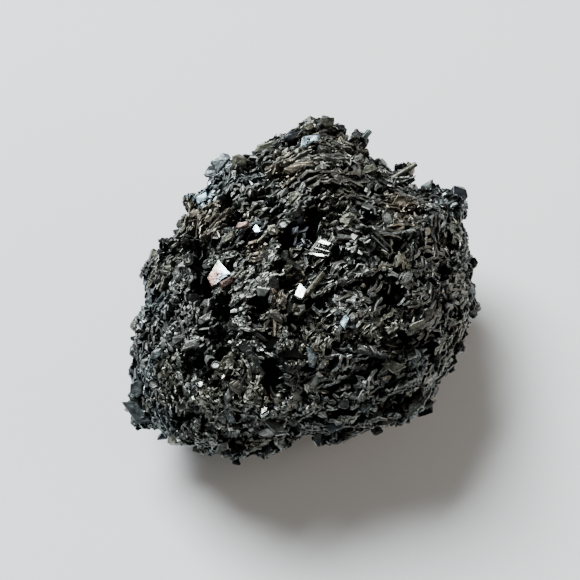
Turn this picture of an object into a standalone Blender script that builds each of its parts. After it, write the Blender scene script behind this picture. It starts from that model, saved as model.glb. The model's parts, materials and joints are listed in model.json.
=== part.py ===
"""Silicon carbide crystal cluster, grown together as one solid.

The lump is a leaning, rounded mass of intergrown plates. It stands on a small broken foot.
X runs left to right, Y front to back and Z up. Sizes below are in millimetres.
"""

import math
import random
from collections import namedtuple

import bmesh
import bpy
from mathutils import Matrix, Vector, noise

MM = 0.001

NODE_NAME = "crystal_cluster"
SEED = 31

# The widest section of the lump: its radius every 15 degrees, counter-clockwise from +X.
SECTION_RADII = (
    21.8, 20.9, 22.6, 19.0, 19.2, 20.0,
    19.8, 17.4, 18.8, 17.7, 17.0, 19.0,
    19.2, 20.8, 23.8, 25.2, 24.0, 21.5,
    17.8, 17.9, 19.5, 20.9, 21.2, 21.4,
)
SECTION_SLOPE = 0.277          # rise of the widest section towards the back
HEART_LINE = Vector((0.0, -0.5, 0.866))   # line that the sections are stacked along
CROWN_REACH = 17.2             # from the widest section to the crown, along the heart line
BASE_REACH = 17.6              # from the widest section to the bottom, along the heart line
FLANK_FULLNESS = 0.86          # below 1 the flanks are fuller than an ellipsoid's
MID_HEIGHT = 14.9              # height of the middle of the widest section
SWELL_HEIGHT = 1.1             # depth of the broad swells in the skin
SWELL_LENGTH = 7.0             # distance from one swell to the next
AROUND_STEPS = 24
STACK_STEPS = 14
SKIN_STEP = 0.05               # short step along the skin that its outward direction is taken from
STACK_LIMIT = 0.98             # how near the crown and the bottom that step may come

# Bundles of plates that cover the skin.
BUNDLE_COUNT = 400
BUNDLE_LENGTH = (4.5, 9.0)
BUNDLE_WIDTH = (2.4, 4.4)
BUNDLE_THICKNESS = (1.0, 2.2)
BUNDLE_STAND_OUT = (0.5, 1.7)  # how far a bundle's tip stands proud of the skin
BUNDLE_TILT = 14.0             # degrees that a bundle strays from its region's growth direction
LEAST_TILT_SHARE = 0.2         # least share of that tilt that every bundle has
PLATE_SIDES = 6                # silicon carbide grows in hexagonal plates
LOWEST_BUNDLE_POINT = 0.4      # bundles that would reach lower than this are left out

# Growth directions. In the aligned region plates stand on edge and run up to the right.
GROWTH_ALONG = Vector((0.906, 0.366, 0.211))
GROWTH_ACROSS = Vector((-0.42, 0.785, 0.453))
ALIGNED_SIDE = Vector((0.6, 0.8, 0.0))
ALIGNED_FROM = -5.0            # distance along ALIGNED_SIDE where the aligned region starts
JUMBLED_TILT = 55.0            # degrees that bundles stray outside the aligned region

Blade = namedtuple("Blade", "around stack turn pitch length width thickness stand_out")

# Larger crystals that give the lump its outline. "around" is the direction on the widest
# section in degrees, "stack" is the place along the heart line from -1 to 1, "turn" swings
# the blade about the skin's own outward direction and "pitch" tips it out of the skin.
BLADES = (
    Blade(81.0, 0.02, 20.0, 55.0, 11.0, 7.0, 4.0, 2.6),
    Blade(88.0, -0.05, -35.0, 50.0, 9.0, 5.0, 3.0, 1.1),
    Blade(76.0, 0.10, 40.0, 60.0, 9.0, 5.0, 3.0, 1.6),
    Blade(67.5, 0.08, 10.0, 75.0, 7.0, 2.0, 1.5, 2.2),
    Blade(108.0, 0.05, 65.0, 40.0, 10.0, 6.0, 3.0, 1.2),
    Blade(118.0, 0.0, 80.0, 35.0, 9.0, 6.0, 3.0, 0.9),
    Blade(131.0, 0.0, 80.0, 35.0, 9.0, 5.0, 2.5, 1.6),
    Blade(47.5, 0.12, 0.0, 78.0, 9.0, 1.8, 1.4, 3.0),
    Blade(45.5, 0.02, 5.0, 74.0, 8.0, 1.4, 1.1, 2.4),
    Blade(31.0, 0.0, 75.0, 30.0, 9.0, 6.0, 3.0, 0.6),
    Blade(23.0, -0.1, 60.0, 30.0, 8.0, 5.0, 3.0, 1.3),
    Blade(4.0, 0.0, 85.0, 30.0, 9.0, 5.0, 3.0, 0.8),
    Blade(213.0, 0.0, 60.0, 55.0, 9.0, 5.5, 2.4, 2.2),
    Blade(219.0, -0.05, 50.0, 40.0, 8.0, 5.0, 2.4, 2.0),
    Blade(199.0, 0.05, 85.0, 40.0, 9.0, 4.0, 1.6, 1.6),
    Blade(250.0, -0.05, 30.0, 60.0, 9.0, 5.0, 3.0, 1.6),
)

# Silicon carbide: near-black with a glassy, partly metallic lustre.
CRYSTAL_COLOUR = (0.022, 0.023, 0.025)
CRYSTAL_ROUGHNESS = 0.32
CRYSTAL_METALLIC = 0.0
MERGE_DISTANCE = 0.0000005       # metres
FLAT_ANGLE = math.radians(0.5)


def clear_scene():
    """Remove whatever objects the file holds."""
    for leftover in list(bpy.data.objects):
        bpy.data.objects.remove(leftover)


def section_radius(around):
    """Radius of the widest section in a direction, blended between the listed radii."""
    step = 2.0 * math.pi / len(SECTION_RADII)
    place = (around / step) % len(SECTION_RADII)
    before = int(place)
    share = 0.5 - 0.5 * math.cos(math.pi * (place - before))
    after = (before + 1) % len(SECTION_RADII)
    return SECTION_RADII[before] * (1.0 - share) + SECTION_RADII[after] * share


def skin_point(around, stack):
    """Point on the lump's skin, for a direction and a place along the heart line."""
    fullness = max(0.0, 1.0 - stack * stack) ** (0.5 * FLANK_FULLNESS)
    reach = section_radius(around) * fullness
    back = reach * math.sin(around)
    point = Vector((reach * math.cos(around), back, MID_HEIGHT + SECTION_SLOPE * back))
    heart_reach = CROWN_REACH if stack > 0.0 else BASE_REACH
    point += HEART_LINE * (stack * heart_reach)
    swell = noise.noise(point / SWELL_LENGTH) * SWELL_HEIGHT
    middle = Vector((0.0, 0.0, MID_HEIGHT))
    return point + (point - middle).normalized() * swell


def skin_outward(around, stack):
    """Outward direction of the skin, from two short steps along it."""
    along_ring = skin_point(around + SKIN_STEP, stack) - skin_point(around - SKIN_STEP, stack)
    low = max(-STACK_LIMIT, stack - SKIN_STEP)
    high = min(STACK_LIMIT, stack + SKIN_STEP)
    along_heart = skin_point(around, high) - skin_point(around, low)
    return along_ring.cross(along_heart).normalized()


def make_mass():
    """The main mass: a sphere drawn out to the skin and cut flat at the foot."""
    shape = bmesh.new()
    bmesh.ops.create_uvsphere(shape, u_segments=AROUND_STEPS, v_segments=STACK_STEPS, radius=1.0)
    for corner in shape.verts:
        around = math.atan2(corner.co.y, corner.co.x)
        corner.co = skin_point(around, corner.co.z)
    cut = bmesh.ops.bisect_plane(
        shape,
        geom=shape.verts[:] + shape.edges[:] + shape.faces[:],
        plane_co=(0.0, 0.0, 0.0),
        plane_no=(0.0, 0.0, 1.0),
        clear_inner=True,
    )
    rim = [item for item in cut["geom_cut"] if isinstance(item, bmesh.types.BMEdge)]
    bmesh.ops.contextual_create(shape, geom=rim)
    return shape


def make_plate(length, width, thickness, frame):
    """One six-sided plate. The frame's columns are its length, width and thickness axes."""
    shape = bmesh.new()
    bmesh.ops.create_cone(
        shape,
        cap_ends=True,
        segments=PLATE_SIDES,
        radius1=0.5,
        radius2=0.5,
        depth=1.0,
    )
    bmesh.ops.scale(shape, vec=(length, width, thickness), verts=shape.verts)
    bmesh.ops.transform(shape, matrix=frame, verts=shape.verts)
    return shape


def plate_frame(along, across, place):
    """Placement whose X is along, whose Z is close to across, and whose origin is place."""
    side = across.cross(along).normalized()
    face = along.cross(side).normalized()
    turned = Matrix((along.normalized(), side, face)).transposed().to_4x4()
    return Matrix.Translation(place) @ turned


def reach_towards(direction, frame, sizes):
    """How far a plate of the given sizes reaches from its middle in a direction."""
    reach = 0.0
    for axis, size in zip(frame.to_3x3().transposed(), sizes):
        reach += abs(direction.dot(axis)) * size * 0.5
    return reach


def set_in_skin(around, stack, along, across, sizes, stand_out):
    """A plate sunk in the skin until its tip stands out by the given height."""
    outward = skin_outward(around, stack)
    frame = plate_frame(along, across, Vector((0.0, 0.0, 0.0)))
    depth = stand_out - reach_towards(outward, frame, sizes)
    place = skin_point(around, stack) + outward * depth
    return make_plate(*sizes, Matrix.Translation(place) @ frame)


def growth_axes(place, chance):
    """Length and face directions for a bundle at a place on the skin."""
    jumbled = place.dot(ALIGNED_SIDE) < ALIGNED_FROM
    tilt = JUMBLED_TILT if jumbled else BUNDLE_TILT
    turn = Vector([chance.uniform(-1.0, 1.0) for _ in range(3)])
    share = chance.uniform(LEAST_TILT_SHARE, 1.0)
    stray = Matrix.Rotation(math.radians(tilt * share), 3, turn)
    return stray @ GROWTH_ALONG, stray @ GROWTH_ACROSS


def make_bundles():
    """Bundles of plates spread evenly over the skin by the golden angle."""
    chance = random.Random(SEED)
    golden_angle = math.pi * (3.0 - math.sqrt(5.0))
    bundles = []
    for number in range(BUNDLE_COUNT):
        around = number * golden_angle
        stack = 1.0 - 2.0 * (number + 0.5) / BUNDLE_COUNT
        along, across = growth_axes(skin_point(around, stack), chance)
        sizes = (
            chance.uniform(*BUNDLE_LENGTH),
            chance.uniform(*BUNDLE_WIDTH),
            chance.uniform(*BUNDLE_THICKNESS),
        )
        stand_out = chance.uniform(*BUNDLE_STAND_OUT)
        bundle = set_in_skin(around, stack, along, across, sizes, stand_out)
        if lowest_point(bundle) > LOWEST_BUNDLE_POINT:
            bundles.append(bundle)
        else:
            bundle.free()
    return bundles


def make_blades():
    """The larger crystals that give the lump its outline."""
    blades = []
    for blade in BLADES:
        around = math.radians(blade.around)
        outward = skin_outward(around, blade.stack)
        level = Vector((0.0, 0.0, 1.0)).cross(outward).normalized()
        level = Matrix.Rotation(math.radians(blade.turn), 3, outward) @ level
        pitch = math.radians(blade.pitch)
        along = level * math.cos(pitch) + outward * math.sin(pitch)
        across = outward * math.cos(pitch) - level * math.sin(pitch)
        sizes = (blade.length, blade.width, blade.thickness)
        blades.append(set_in_skin(around, blade.stack, along, across, sizes, blade.stand_out))
    return blades


def lowest_point(shape):
    """Height of the lowest corner of a shape."""
    return min(corner.co.z for corner in shape.verts)


def to_object(shape, name, collection):
    """Turn a shape in millimetres into an object in metres."""
    bmesh.ops.scale(shape, vec=(MM, MM, MM), verts=shape.verts)
    bmesh.ops.recalc_face_normals(shape, faces=shape.faces)
    mesh = bpy.data.meshes.new(name)
    shape.to_mesh(mesh)
    shape.free()
    solid = bpy.data.objects.new(name, mesh)
    collection.objects.link(solid)
    return solid


def crystal_material():
    """Dark crystal with a glassy surface."""
    material = bpy.data.materials.new("silicon_carbide")
    material.use_nodes = True
    shader = material.node_tree.nodes["Principled BSDF"]
    shader.inputs["Base Color"].default_value = (*CRYSTAL_COLOUR, 1.0)
    shader.inputs["Roughness"].default_value = CRYSTAL_ROUGHNESS
    shader.inputs["Metallic"].default_value = CRYSTAL_METALLIC
    return material


def join_plates(mass, plates):
    """Unite the mass with every plate that grows out of it."""
    growth = bpy.data.collections.new("plates")
    bpy.context.scene.collection.children.link(growth)
    for number, shape in enumerate(plates):
        plate = to_object(shape, f"plate_{number:03d}", growth)
        plate.hide_render = True
        plate.display_type = "WIRE"
    union = mass.modifiers.new("grown together", "BOOLEAN")
    union.operation = "UNION"
    union.solver = "EXACT"
    union.operand_type = "COLLECTION"
    union.collection = growth
    bpy.context.view_layer.update()
    evaluated = mass.evaluated_get(bpy.context.evaluated_depsgraph_get())
    joined = bpy.data.meshes.new_from_object(evaluated)
    mass.modifiers.remove(union)
    mass.data = joined
    for plate in list(growth.objects):
        bpy.data.objects.remove(plate)
    bpy.data.collections.remove(growth)


def shell_of(start, seen):
    """All faces that are joined to a face through shared edges."""
    shell = []
    waiting = [start]
    seen.add(start)
    while waiting:
        face = waiting.pop()
        shell.append(face)
        for edge in face.edges:
            for neighbour in edge.link_faces:
                if neighbour not in seen:
                    seen.add(neighbour)
                    waiting.append(neighbour)
    return shell


def keep_outer_skin(solid):
    """Fill the closed pockets between plates, so that the solid has one outer skin."""
    shape = bmesh.new()
    shape.from_mesh(solid.data)
    bmesh.ops.remove_doubles(shape, verts=shape.verts, dist=MERGE_DISTANCE)
    bmesh.ops.dissolve_limit(
        shape,
        angle_limit=FLAT_ANGLE,
        verts=shape.verts,
        edges=shape.edges,
    )
    bmesh.ops.triangulate(shape, faces=shape.faces)
    seen = set()
    shells = [shell_of(face, seen) for face in shape.faces if face not in seen]
    shells.sort(key=len)
    for shell in shells[:-1]:
        bmesh.ops.delete(shape, geom=shell, context="FACES")
    shape.to_mesh(solid.data)
    shape.free()


def stand_on_origin(solid):
    """Put the middle of the solid's footprint box on the origin, with the foot at Z = 0."""
    xs = [corner.co.x for corner in solid.data.vertices]
    ys = [corner.co.y for corner in solid.data.vertices]
    lowest = min(corner.co.z for corner in solid.data.vertices)
    middle = Vector(((min(xs) + max(xs)) / 2.0, (min(ys) + max(ys)) / 2.0, lowest))
    solid.data.transform(Matrix.Translation(-middle))


def main():
    clear_scene()
    scene_objects = bpy.context.scene.collection
    cluster = to_object(make_mass(), NODE_NAME, scene_objects)
    join_plates(cluster, make_bundles() + make_blades())
    keep_outer_skin(cluster)
    stand_on_origin(cluster)
    cluster.data.materials.clear()
    cluster.data.materials.append(crystal_material())


main()
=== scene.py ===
"""Silicon carbide crystal cluster: its crystals, their finish, and a plain stage."""

import json
import math
from collections import namedtuple
from functools import lru_cache

import bmesh
import bpy
import numpy as np
from mathutils import Matrix, Vector, noise
from mathutils.bvhtree import BVHTree
from mathutils.geometry import intersect_line_plane

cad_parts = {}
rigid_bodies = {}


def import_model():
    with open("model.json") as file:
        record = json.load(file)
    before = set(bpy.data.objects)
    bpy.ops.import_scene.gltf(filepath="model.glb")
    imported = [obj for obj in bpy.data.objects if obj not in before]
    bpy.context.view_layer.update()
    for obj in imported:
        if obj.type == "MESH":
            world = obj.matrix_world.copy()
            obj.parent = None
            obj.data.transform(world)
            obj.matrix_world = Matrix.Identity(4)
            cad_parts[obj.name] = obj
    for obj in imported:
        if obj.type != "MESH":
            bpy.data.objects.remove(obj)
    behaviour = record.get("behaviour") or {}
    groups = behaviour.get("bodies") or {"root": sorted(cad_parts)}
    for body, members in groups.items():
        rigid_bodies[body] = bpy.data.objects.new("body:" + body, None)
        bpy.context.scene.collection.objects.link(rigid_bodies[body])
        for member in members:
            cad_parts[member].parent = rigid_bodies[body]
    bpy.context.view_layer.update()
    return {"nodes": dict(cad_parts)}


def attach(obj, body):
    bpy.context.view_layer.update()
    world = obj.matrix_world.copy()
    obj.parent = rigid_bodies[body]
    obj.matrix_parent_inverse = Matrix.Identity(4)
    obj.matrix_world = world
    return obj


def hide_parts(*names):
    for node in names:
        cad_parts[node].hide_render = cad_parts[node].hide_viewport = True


bl_info = {
    "name": "Silicon Carbide Crystal Cluster",
    "version": (1, 0, 0),
    "blender": (4, 5, 0),
    "location": "3D View > Sidebar > Crystal Cluster",
    "description": "Grows the plates of a silicon carbide crystal cluster on its solid",
    "category": "Add Mesh",
}

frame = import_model()

MM = 0.001
NODE = "crystal_cluster"
SEED = 17
SAME_PLACE = 0.0001  # mm between two corners that are one
SECTORS = ("right", "back", "left", "front", "underside")
UNDERSIDE_TOP = 8.0  # mm above the floor, where the underside's sector ends

# The line of sight that the cluster is shown from, and the plane square to it.
SIGHT_RISE = math.radians(60.0)  # height of the viewpoint above the floor's level
SIGHT_DISTANCE = 181.6  # mm from the viewpoint to the sight's target
SIGHT_TARGET = Vector((-2.1, 0.5, 15.0))  # mm, inside the lump
ACROSS = Vector((1.0, 0.0, 0.0))
UPWARDS = Vector((0.0, math.sin(SIGHT_RISE), math.cos(SIGHT_RISE)))
INWARDS = Vector((0.0, math.cos(SIGHT_RISE), -math.sin(SIGHT_RISE)))
EYE = SIGHT_TARGET - INWARDS * SIGHT_DISTANCE
FRAME_WIDTH = 73.66  # mm that the view spans at the sight's target
SENSOR = 36.0  # mm
NEAREST_SEEN = 0.01  # metres from the camera

# The stage, in metres. Each light has a name, a place, the side of its square, its watts
# and its colour.
WINDOW = Vector((-0.3, 0.32, 0.62))
LIGHTS = (
    ("window", WINDOW, 0.4, 18.5, "#F3F6F6"),
    ("fill", Vector((0.6, -0.1, 0.35)), 0.4, 2.0, "#FFEBD6"),
)
LIGHT_TARGET = Vector((0.0, 0.0, 0.015))
ROOM_COLOUR = "#DDE3E8"
ROOM_STRENGTH = 0.17
FLOOR_REACH = 1.5  # from the middle of the floor to each side
FLOOR_ROUGHNESS = 0.9

# The skin that places are taken from, and the crust of plates grown together over it.
SKIN_VOXEL = 0.5  # mm, edge of the skin's remesh
SKIN_SMOOTHING = 3
CRUST_VOXEL = 0.62  # mm, edge of the crust's remesh, which is then halved
CRUST_SMOOTHING = 2
CRUST_INSET = 0.7  # mm that the crust's middle height lies inside the solid
FLAT_FOOT = 0.3  # mm above the floor, below which the crust is pressed flat
FOOT_HEIGHT = 1.5  # mm over which the crust's relief fades at the foot
PLATE_PITCH = 0.5  # mm from one plate to the next
PLATE_WIDTH = 1.1  # mm
PLATE_LENGTH = 2.0  # mm where the plates lie well in line
SHORTEST_PLATE = 0.3  # share of that length left where they stray most
BUNDLE_SHIFT = 17.3  # plates from one bundle's pattern to the next

# The relief of the plates. Widths and scales count plates, and heights are in mm.
BEND_SCALE = 0.45  # waves in the plates' outlines for each plate
BEND_REACH = (1.8, 1.8, 1.8)  # how far the waves carry an outline
PLATE_TILT = 0.7  # mm that a plate's face climbs across the plate
PLATE_STANDS = (-0.26, 0.3)  # lowest and highest plate
BLOCK_SCALE = 0.35  # blocks that stand high or low for each plate
BLOCK_STANDS = (-0.25, 0.25)
GROOVE_WIDTH = 0.16
GROOVE_DEPTH = 0.35
CREST_SCALE = 1.1  # winding crests for each plate
CREST_WIDTH = 0.12
CREST_STANDS = (0.26, -0.1)  # on a crest and away from it

# The finish, as shares of a bare face's brightness, and roughness. Part of it is painted light, as
# marked below.
# Random greys from plate to plate, kept low overall as painted shade between the ridges.
PLATE_GREYS = (0.06, 0.3)  # darkest and brightest plate of the crust
OPEN_HEIGHTS = (-0.6, 0.25)  # mm, from the bottom of a groove to an open face
# Painted shade: the crust darkens towards the bottom of its grooves.
PAINTED_GROOVE_SHADE = (0.12, 1.0)  # light left at each of those heights
# Painted light: the crust is brighter on its crests and darker away from them.
PAINTED_CREST_LIGHT = (1.3, 0.7)  # on a crest and away from it
CRUST_ROUGHNESS = (0.25, 0.55)
MOTTLE_RANGE = (0.34, 0.66)  # the part of the noise that the mottling is drawn from
MOTTLE_SHARES = (0.4, 1.3)
RELIEF_STRENGTH = 0.5
BARE_ROUGHNESS = 0.4

# The ridges: plates that stand on edge side by side, so that only their wavy rims show.
RIDGE_PITCH = 0.58  # mm from one ridge to the next
RIDGE_THICKNESS = 0.45  # mm
RIDGE_HEIGHT = 0.95  # mm
RIDGE_LENGTHS = (0.9, 3.8)  # mm, shortest and longest
SHORTENED_BY_STRAY = 1.1  # share of the longest lost for each radian of stray
LEAST_LENGTHENING = 0.2  # share that is always left
RIDGE_OVERLAP = 0.92  # from one ridge's start to the next, against its length
ROW_REACH = 1.4  # a row's half length against the bundle spacing
RIDGE_STEPS = 5  # lengths that a ridge's rim is nicked at
RIDGE_CHAMFERS = (0.14, 0.24)  # against the thickness
RIDGE_SWAY = 0.3  # thicknesses that a straight ridge strays sideways
WINDING = 1.5  # how much further a winding one does
RIDGE_RISE = 0.08  # heights that a rim goes up and down
RIDGE_SWELLS = (0.65, 1.25)  # thickness along a ridge
END_THINNING = 0.8  # thickness of its ends
END_DROP = 0.12  # heights that its ends are lower
RIM_HOLLOW = 0.03  # heights that the rim is hollow between its edges
NEAR = 0.01  # share of a unit shape that counts as touching
END_RISE = 0.3  # mm that a ridge's end may rise from the skin
CUT_SHORT = 0.45  # length left to a ridge whose end would rise further
RIDGE_KINDS = 5  # shapes of ridge of each sort, winding or straight
STEEPEST_ROW = 0.7  # most of a row's direction that may point outwards
RIDGE_UNDERSIDE = -0.4  # outward height below which skin is the underside
UNDERSIDE_SHARE = 0.6  # how many ridges are kept there
# Painted light on the ridges: a painted highlight along the rim, and painted shade in the hollow
# between its edges, on the flank and at the foot.
RIM_PAINTED_HIGHLIGHT = 1.68  # brightness of a ridge's rim against a bare face
HOLLOW_PAINTED_SHADE = 0.46  # that of the hollow between its rims
FLANK_PAINTED_SHADE = 0.2  # that of the top of its flank
ROOT_PAINTED_SHADE = 0.05  # that of its foot
RIDGE_INSET = 0.35  # mm that the rims' middle height lies inside the solid
RIDGE_STAND = 0.1  # mm that one ridge stands higher or lower than the next
RIDGE_WANDER = (0.1, 0.2)  # turn out of the row, and more for each radian of stray
WANDER_LAID_DOWN = 0.7  # share of that turn's outward part that is taken away
RIDGE_LEAN = (0.08, 0.15)  # radians of lean, and more for each radian of stray
RIDGE_SHINES = (0.7, 1.3)
RIDGE_THICKENING = (0.7, 1.4)
RIDGE_ROUGHNESS = (0.32, 0.6)
STRAIGHT_CHANCE = (-0.2, 1.2)  # of a straight ridge, and more for each radian of stray

# Painted shade in the pits: brightness lost at the bottom, and the depth in mm of a full loss.
PIT_SHADE_SHARE = 0.75
PIT_SHADE_DEPTH = 2.0

# Open pits between the crystals: across and up on the sight plane, radius and depth, in mm.
PITS = (
    (-8.3, 11.0, 1.6, 2.6),
    (-3.8, 12.1, 1.8, 2.8),
    (3.4, 8.5, 1.9, 2.8),
    (3.4, 11.4, 1.4, 2.4),
    (-12.7, 6.0, 1.7, 2.6),
    (-15.2, 4.2, 1.4, 2.2),
    (-11.8, 0.4, 1.6, 2.6),
    (-9.0, -2.6, 1.9, 3.0),
    (-10.2, -5.2, 1.7, 2.8),
    (-3.8, -1.6, 1.5, 2.4),
    (1.0, -3.7, 1.9, 3.2),
    (2.8, -2.2, 1.6, 2.8),
    (-2.2, -9.8, 1.9, 3.2),
    (-2.0, -12.3, 1.6, 2.8),
    (11.0, 6.0, 1.6, 2.8),
    (11.8, 4.6, 1.4, 2.4),
    (13.0, -0.9, 1.8, 3.0),
    (6.4, 4.7, 1.3, 2.2),
    (-0.4, 1.7, 1.3, 2.2),
    (20.0, 2.2, 1.2, 2.0),
    (10.8, -9.8, 1.5, 2.4),
    (15.2, -7.2, 1.5, 2.2),
    (-14.0, -16.8, 1.4, 2.2),
    (-12.3, -9.3, 1.5, 2.4),
    (-7.5, 9.2, 1.3, 2.0),
    (-5.2, 7.0, 1.1, 1.8),
    (-0.5, 6.3, 1.3, 2.2),
    (-11.2, 3.2, 1.1, 1.8),
    (10.2, 9.6, 1.2, 2.0),
    (14.6, 6.3, 1.3, 2.0),
    (-9.2, -7.6, 1.4, 2.2),
    (-4.6, -3.6, 1.3, 2.0),
    (18.5, -8.1, 1.2, 1.8),
)

# Where the crystals stand higher than the solid, or lower where the height is below zero:
# across and up on the sight plane, radius and height, in mm.
SWELLS = (
    (5.2, 20.2, 3.4, 1.0),
    (-3.0, 18.0, 2.6, 1.0),
    (-9.0, 16.6, 2.4, 0.6),
    (-15.6, 10.4, 2.6, 0.7),
    (-13.0, 10.4, 3.0, 0.6),
    (-18.8, 2.6, 3.2, 0.6),
    (-19.4, -3.0, 3.0, 0.5),
    (-19.2, -9.6, 3.0, 1.2),
    (-18.9, -15.4, 2.8, 1.0),
    (21.6, 11.6, 2.4, 0.6),
    (22.4, 6.4, 2.8, 0.8),
    (10.0, 19.0, 1.6, -0.7),
    (24.6, 2.4, 2.6, -0.5),
    (24.0, -1.6, 2.0, -0.1),
    (22.8, -8.4, 2.6, -0.6),
    (20.2, -12.0, 2.4, -0.5),
    (9.0, -18.0, 3.0, 0.3),
    (16.5, -15.8, 2.4, -0.4),
    (-5.2, -22.8, 3.2, -0.6),
)

# How the crystals lie: across and up on the sight plane in mm, the angle of their length
# in degrees from the right, and how far they stray from it in degrees.
GROWTH_GUIDES = (
    (4.0, 18.0, 24.0, 12.0),
    (13.0, 12.0, 20.0, 10.0),
    (20.0, 6.0, 26.0, 12.0),
    (9.0, 4.0, 30.0, 14.0),
    (18.0, -4.0, 22.0, 12.0),
    (8.0, -6.0, 34.0, 22.0),
    (17.0, -12.0, 26.0, 14.0),
    (-2.0, 6.0, 36.0, 18.0),
    (-4.0, 14.0, 42.0, 20.0),
    (-12.0, 15.0, 52.0, 24.0),
    (-14.0, 5.0, 48.0, 24.0),
    (-8.0, -2.0, 44.0, 30.0),
    (-19.0, -6.0, 75.0, 30.0),
    (-19.0, -14.0, 86.0, 34.0),
    (-10.0, -10.0, -30.0, 50.0),
    (-11.0, -17.0, -62.0, 40.0),
    (-3.0, -9.0, -75.0, 45.0),
    (1.0, -15.0, -40.0, 45.0),
    (6.0, -17.0, 14.0, 24.0),
)
GUIDE_REACH = 5.0  # mm over which one guide gives way to the next

PITS_OUT_OF_SIGHT = 80
PIT_RADII_OUT_OF_SIGHT = (1.0, 2.0)  # mm
PIT_DEPTH_OUT_OF_SIGHT = 1.8  # against the radius
PIT_DEEPENING = 1.1  # depth that a pit is given against that listed
HOLLOW_FADE = (2.2, 1.2)  # steepness of a hollow's side, and reach for its radius
SWELL_FADE = (1.6, 1.3)  # the same for a swell
TURNED_AWAY = 0.1  # facing the sight this little, skin has no listed pits
FACING_GAIN = 2.5  # how soon they deepen as it turns to the sight

# Long cracks: both ends across and up on the sight plane, half width and depth, in mm.
CREVICES = (
    (4.5, -13.4, 12.0, -10.2, 0.5, 1.3),
    (12.0, -10.2, 19.5, -5.6, 0.6, 1.6),
    (-8.0, 12.0, -1.5, 10.5, 0.7, 1.8),
    (-12.0, 1.0, -8.0, -6.0, 0.8, 2.0),
    (9.5, 7.5, 13.5, 2.5, 0.7, 1.8),
    (9.3, 12.6, 13.8, 13.4, 0.5, 1.5),
    (-19.4, -7.2, -19.1, -10.2, 0.4, 1.4),
    (-18.7, -12.8, -18.8, -15.4, 0.4, 1.4),
    (4.0, -17.2, 7.4, -15.0, 0.5, 1.3),
    (10.6, -17.0, 14.8, -16.2, 0.4, 1.0),
)

# Films that tint a stretch of crystals: across, up and radius in mm, and the film's name.
FILM_PATCHES = (
    (-11.0, 9.3, 2.6, "bronze"),
    (-14.0, 8.0, 1.6, "olive"),
    (-0.4, 15.6, 2.0, "bronze"),
    (1.6, 17.0, 1.4, "olive"),
    (5.0, 16.0, 4.0, "umber"),
    (14.0, 10.6, 2.2, "bronze"),
    (-4.6, 5.8, 1.8, "bronze"),
    (0.6, 4.4, 1.4, "umber"),
    (-1.7, -3.2, 2.4, "umber"),
    (-1.3, -0.9, 1.2, "bronze"),
    (0.8, 7.4, 1.4, "navy"),
    (-10.0, 15.4, 3.0, "steel"),
    (-11.6, 12.4, 1.6, "sky"),
    (-18.8, -2.0, 2.4, "steel"),
    (-19.6, -11.0, 3.0, "steel"),
    (-17.0, -17.5, 2.8, "steel"),
    (21.5, 12.0, 2.6, "steel"),
    (21.8, 1.2, 1.6, "umber"),
    (22.6, -5.4, 1.6, "umber"),
    (-7.6, -9.8, 2.2, "olive"),
    (-6.8, -12.2, 1.8, "umber"),
    (12.8, -9.6, 2.0, "olive"),
    (13.6, 4.0, 1.8, "olive"),
    (8.0, -1.2, 3.4, "graphite"),
)

Crystal = namedtuple("Crystal", "across up turn lit length width thickness film shine shape")
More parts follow.
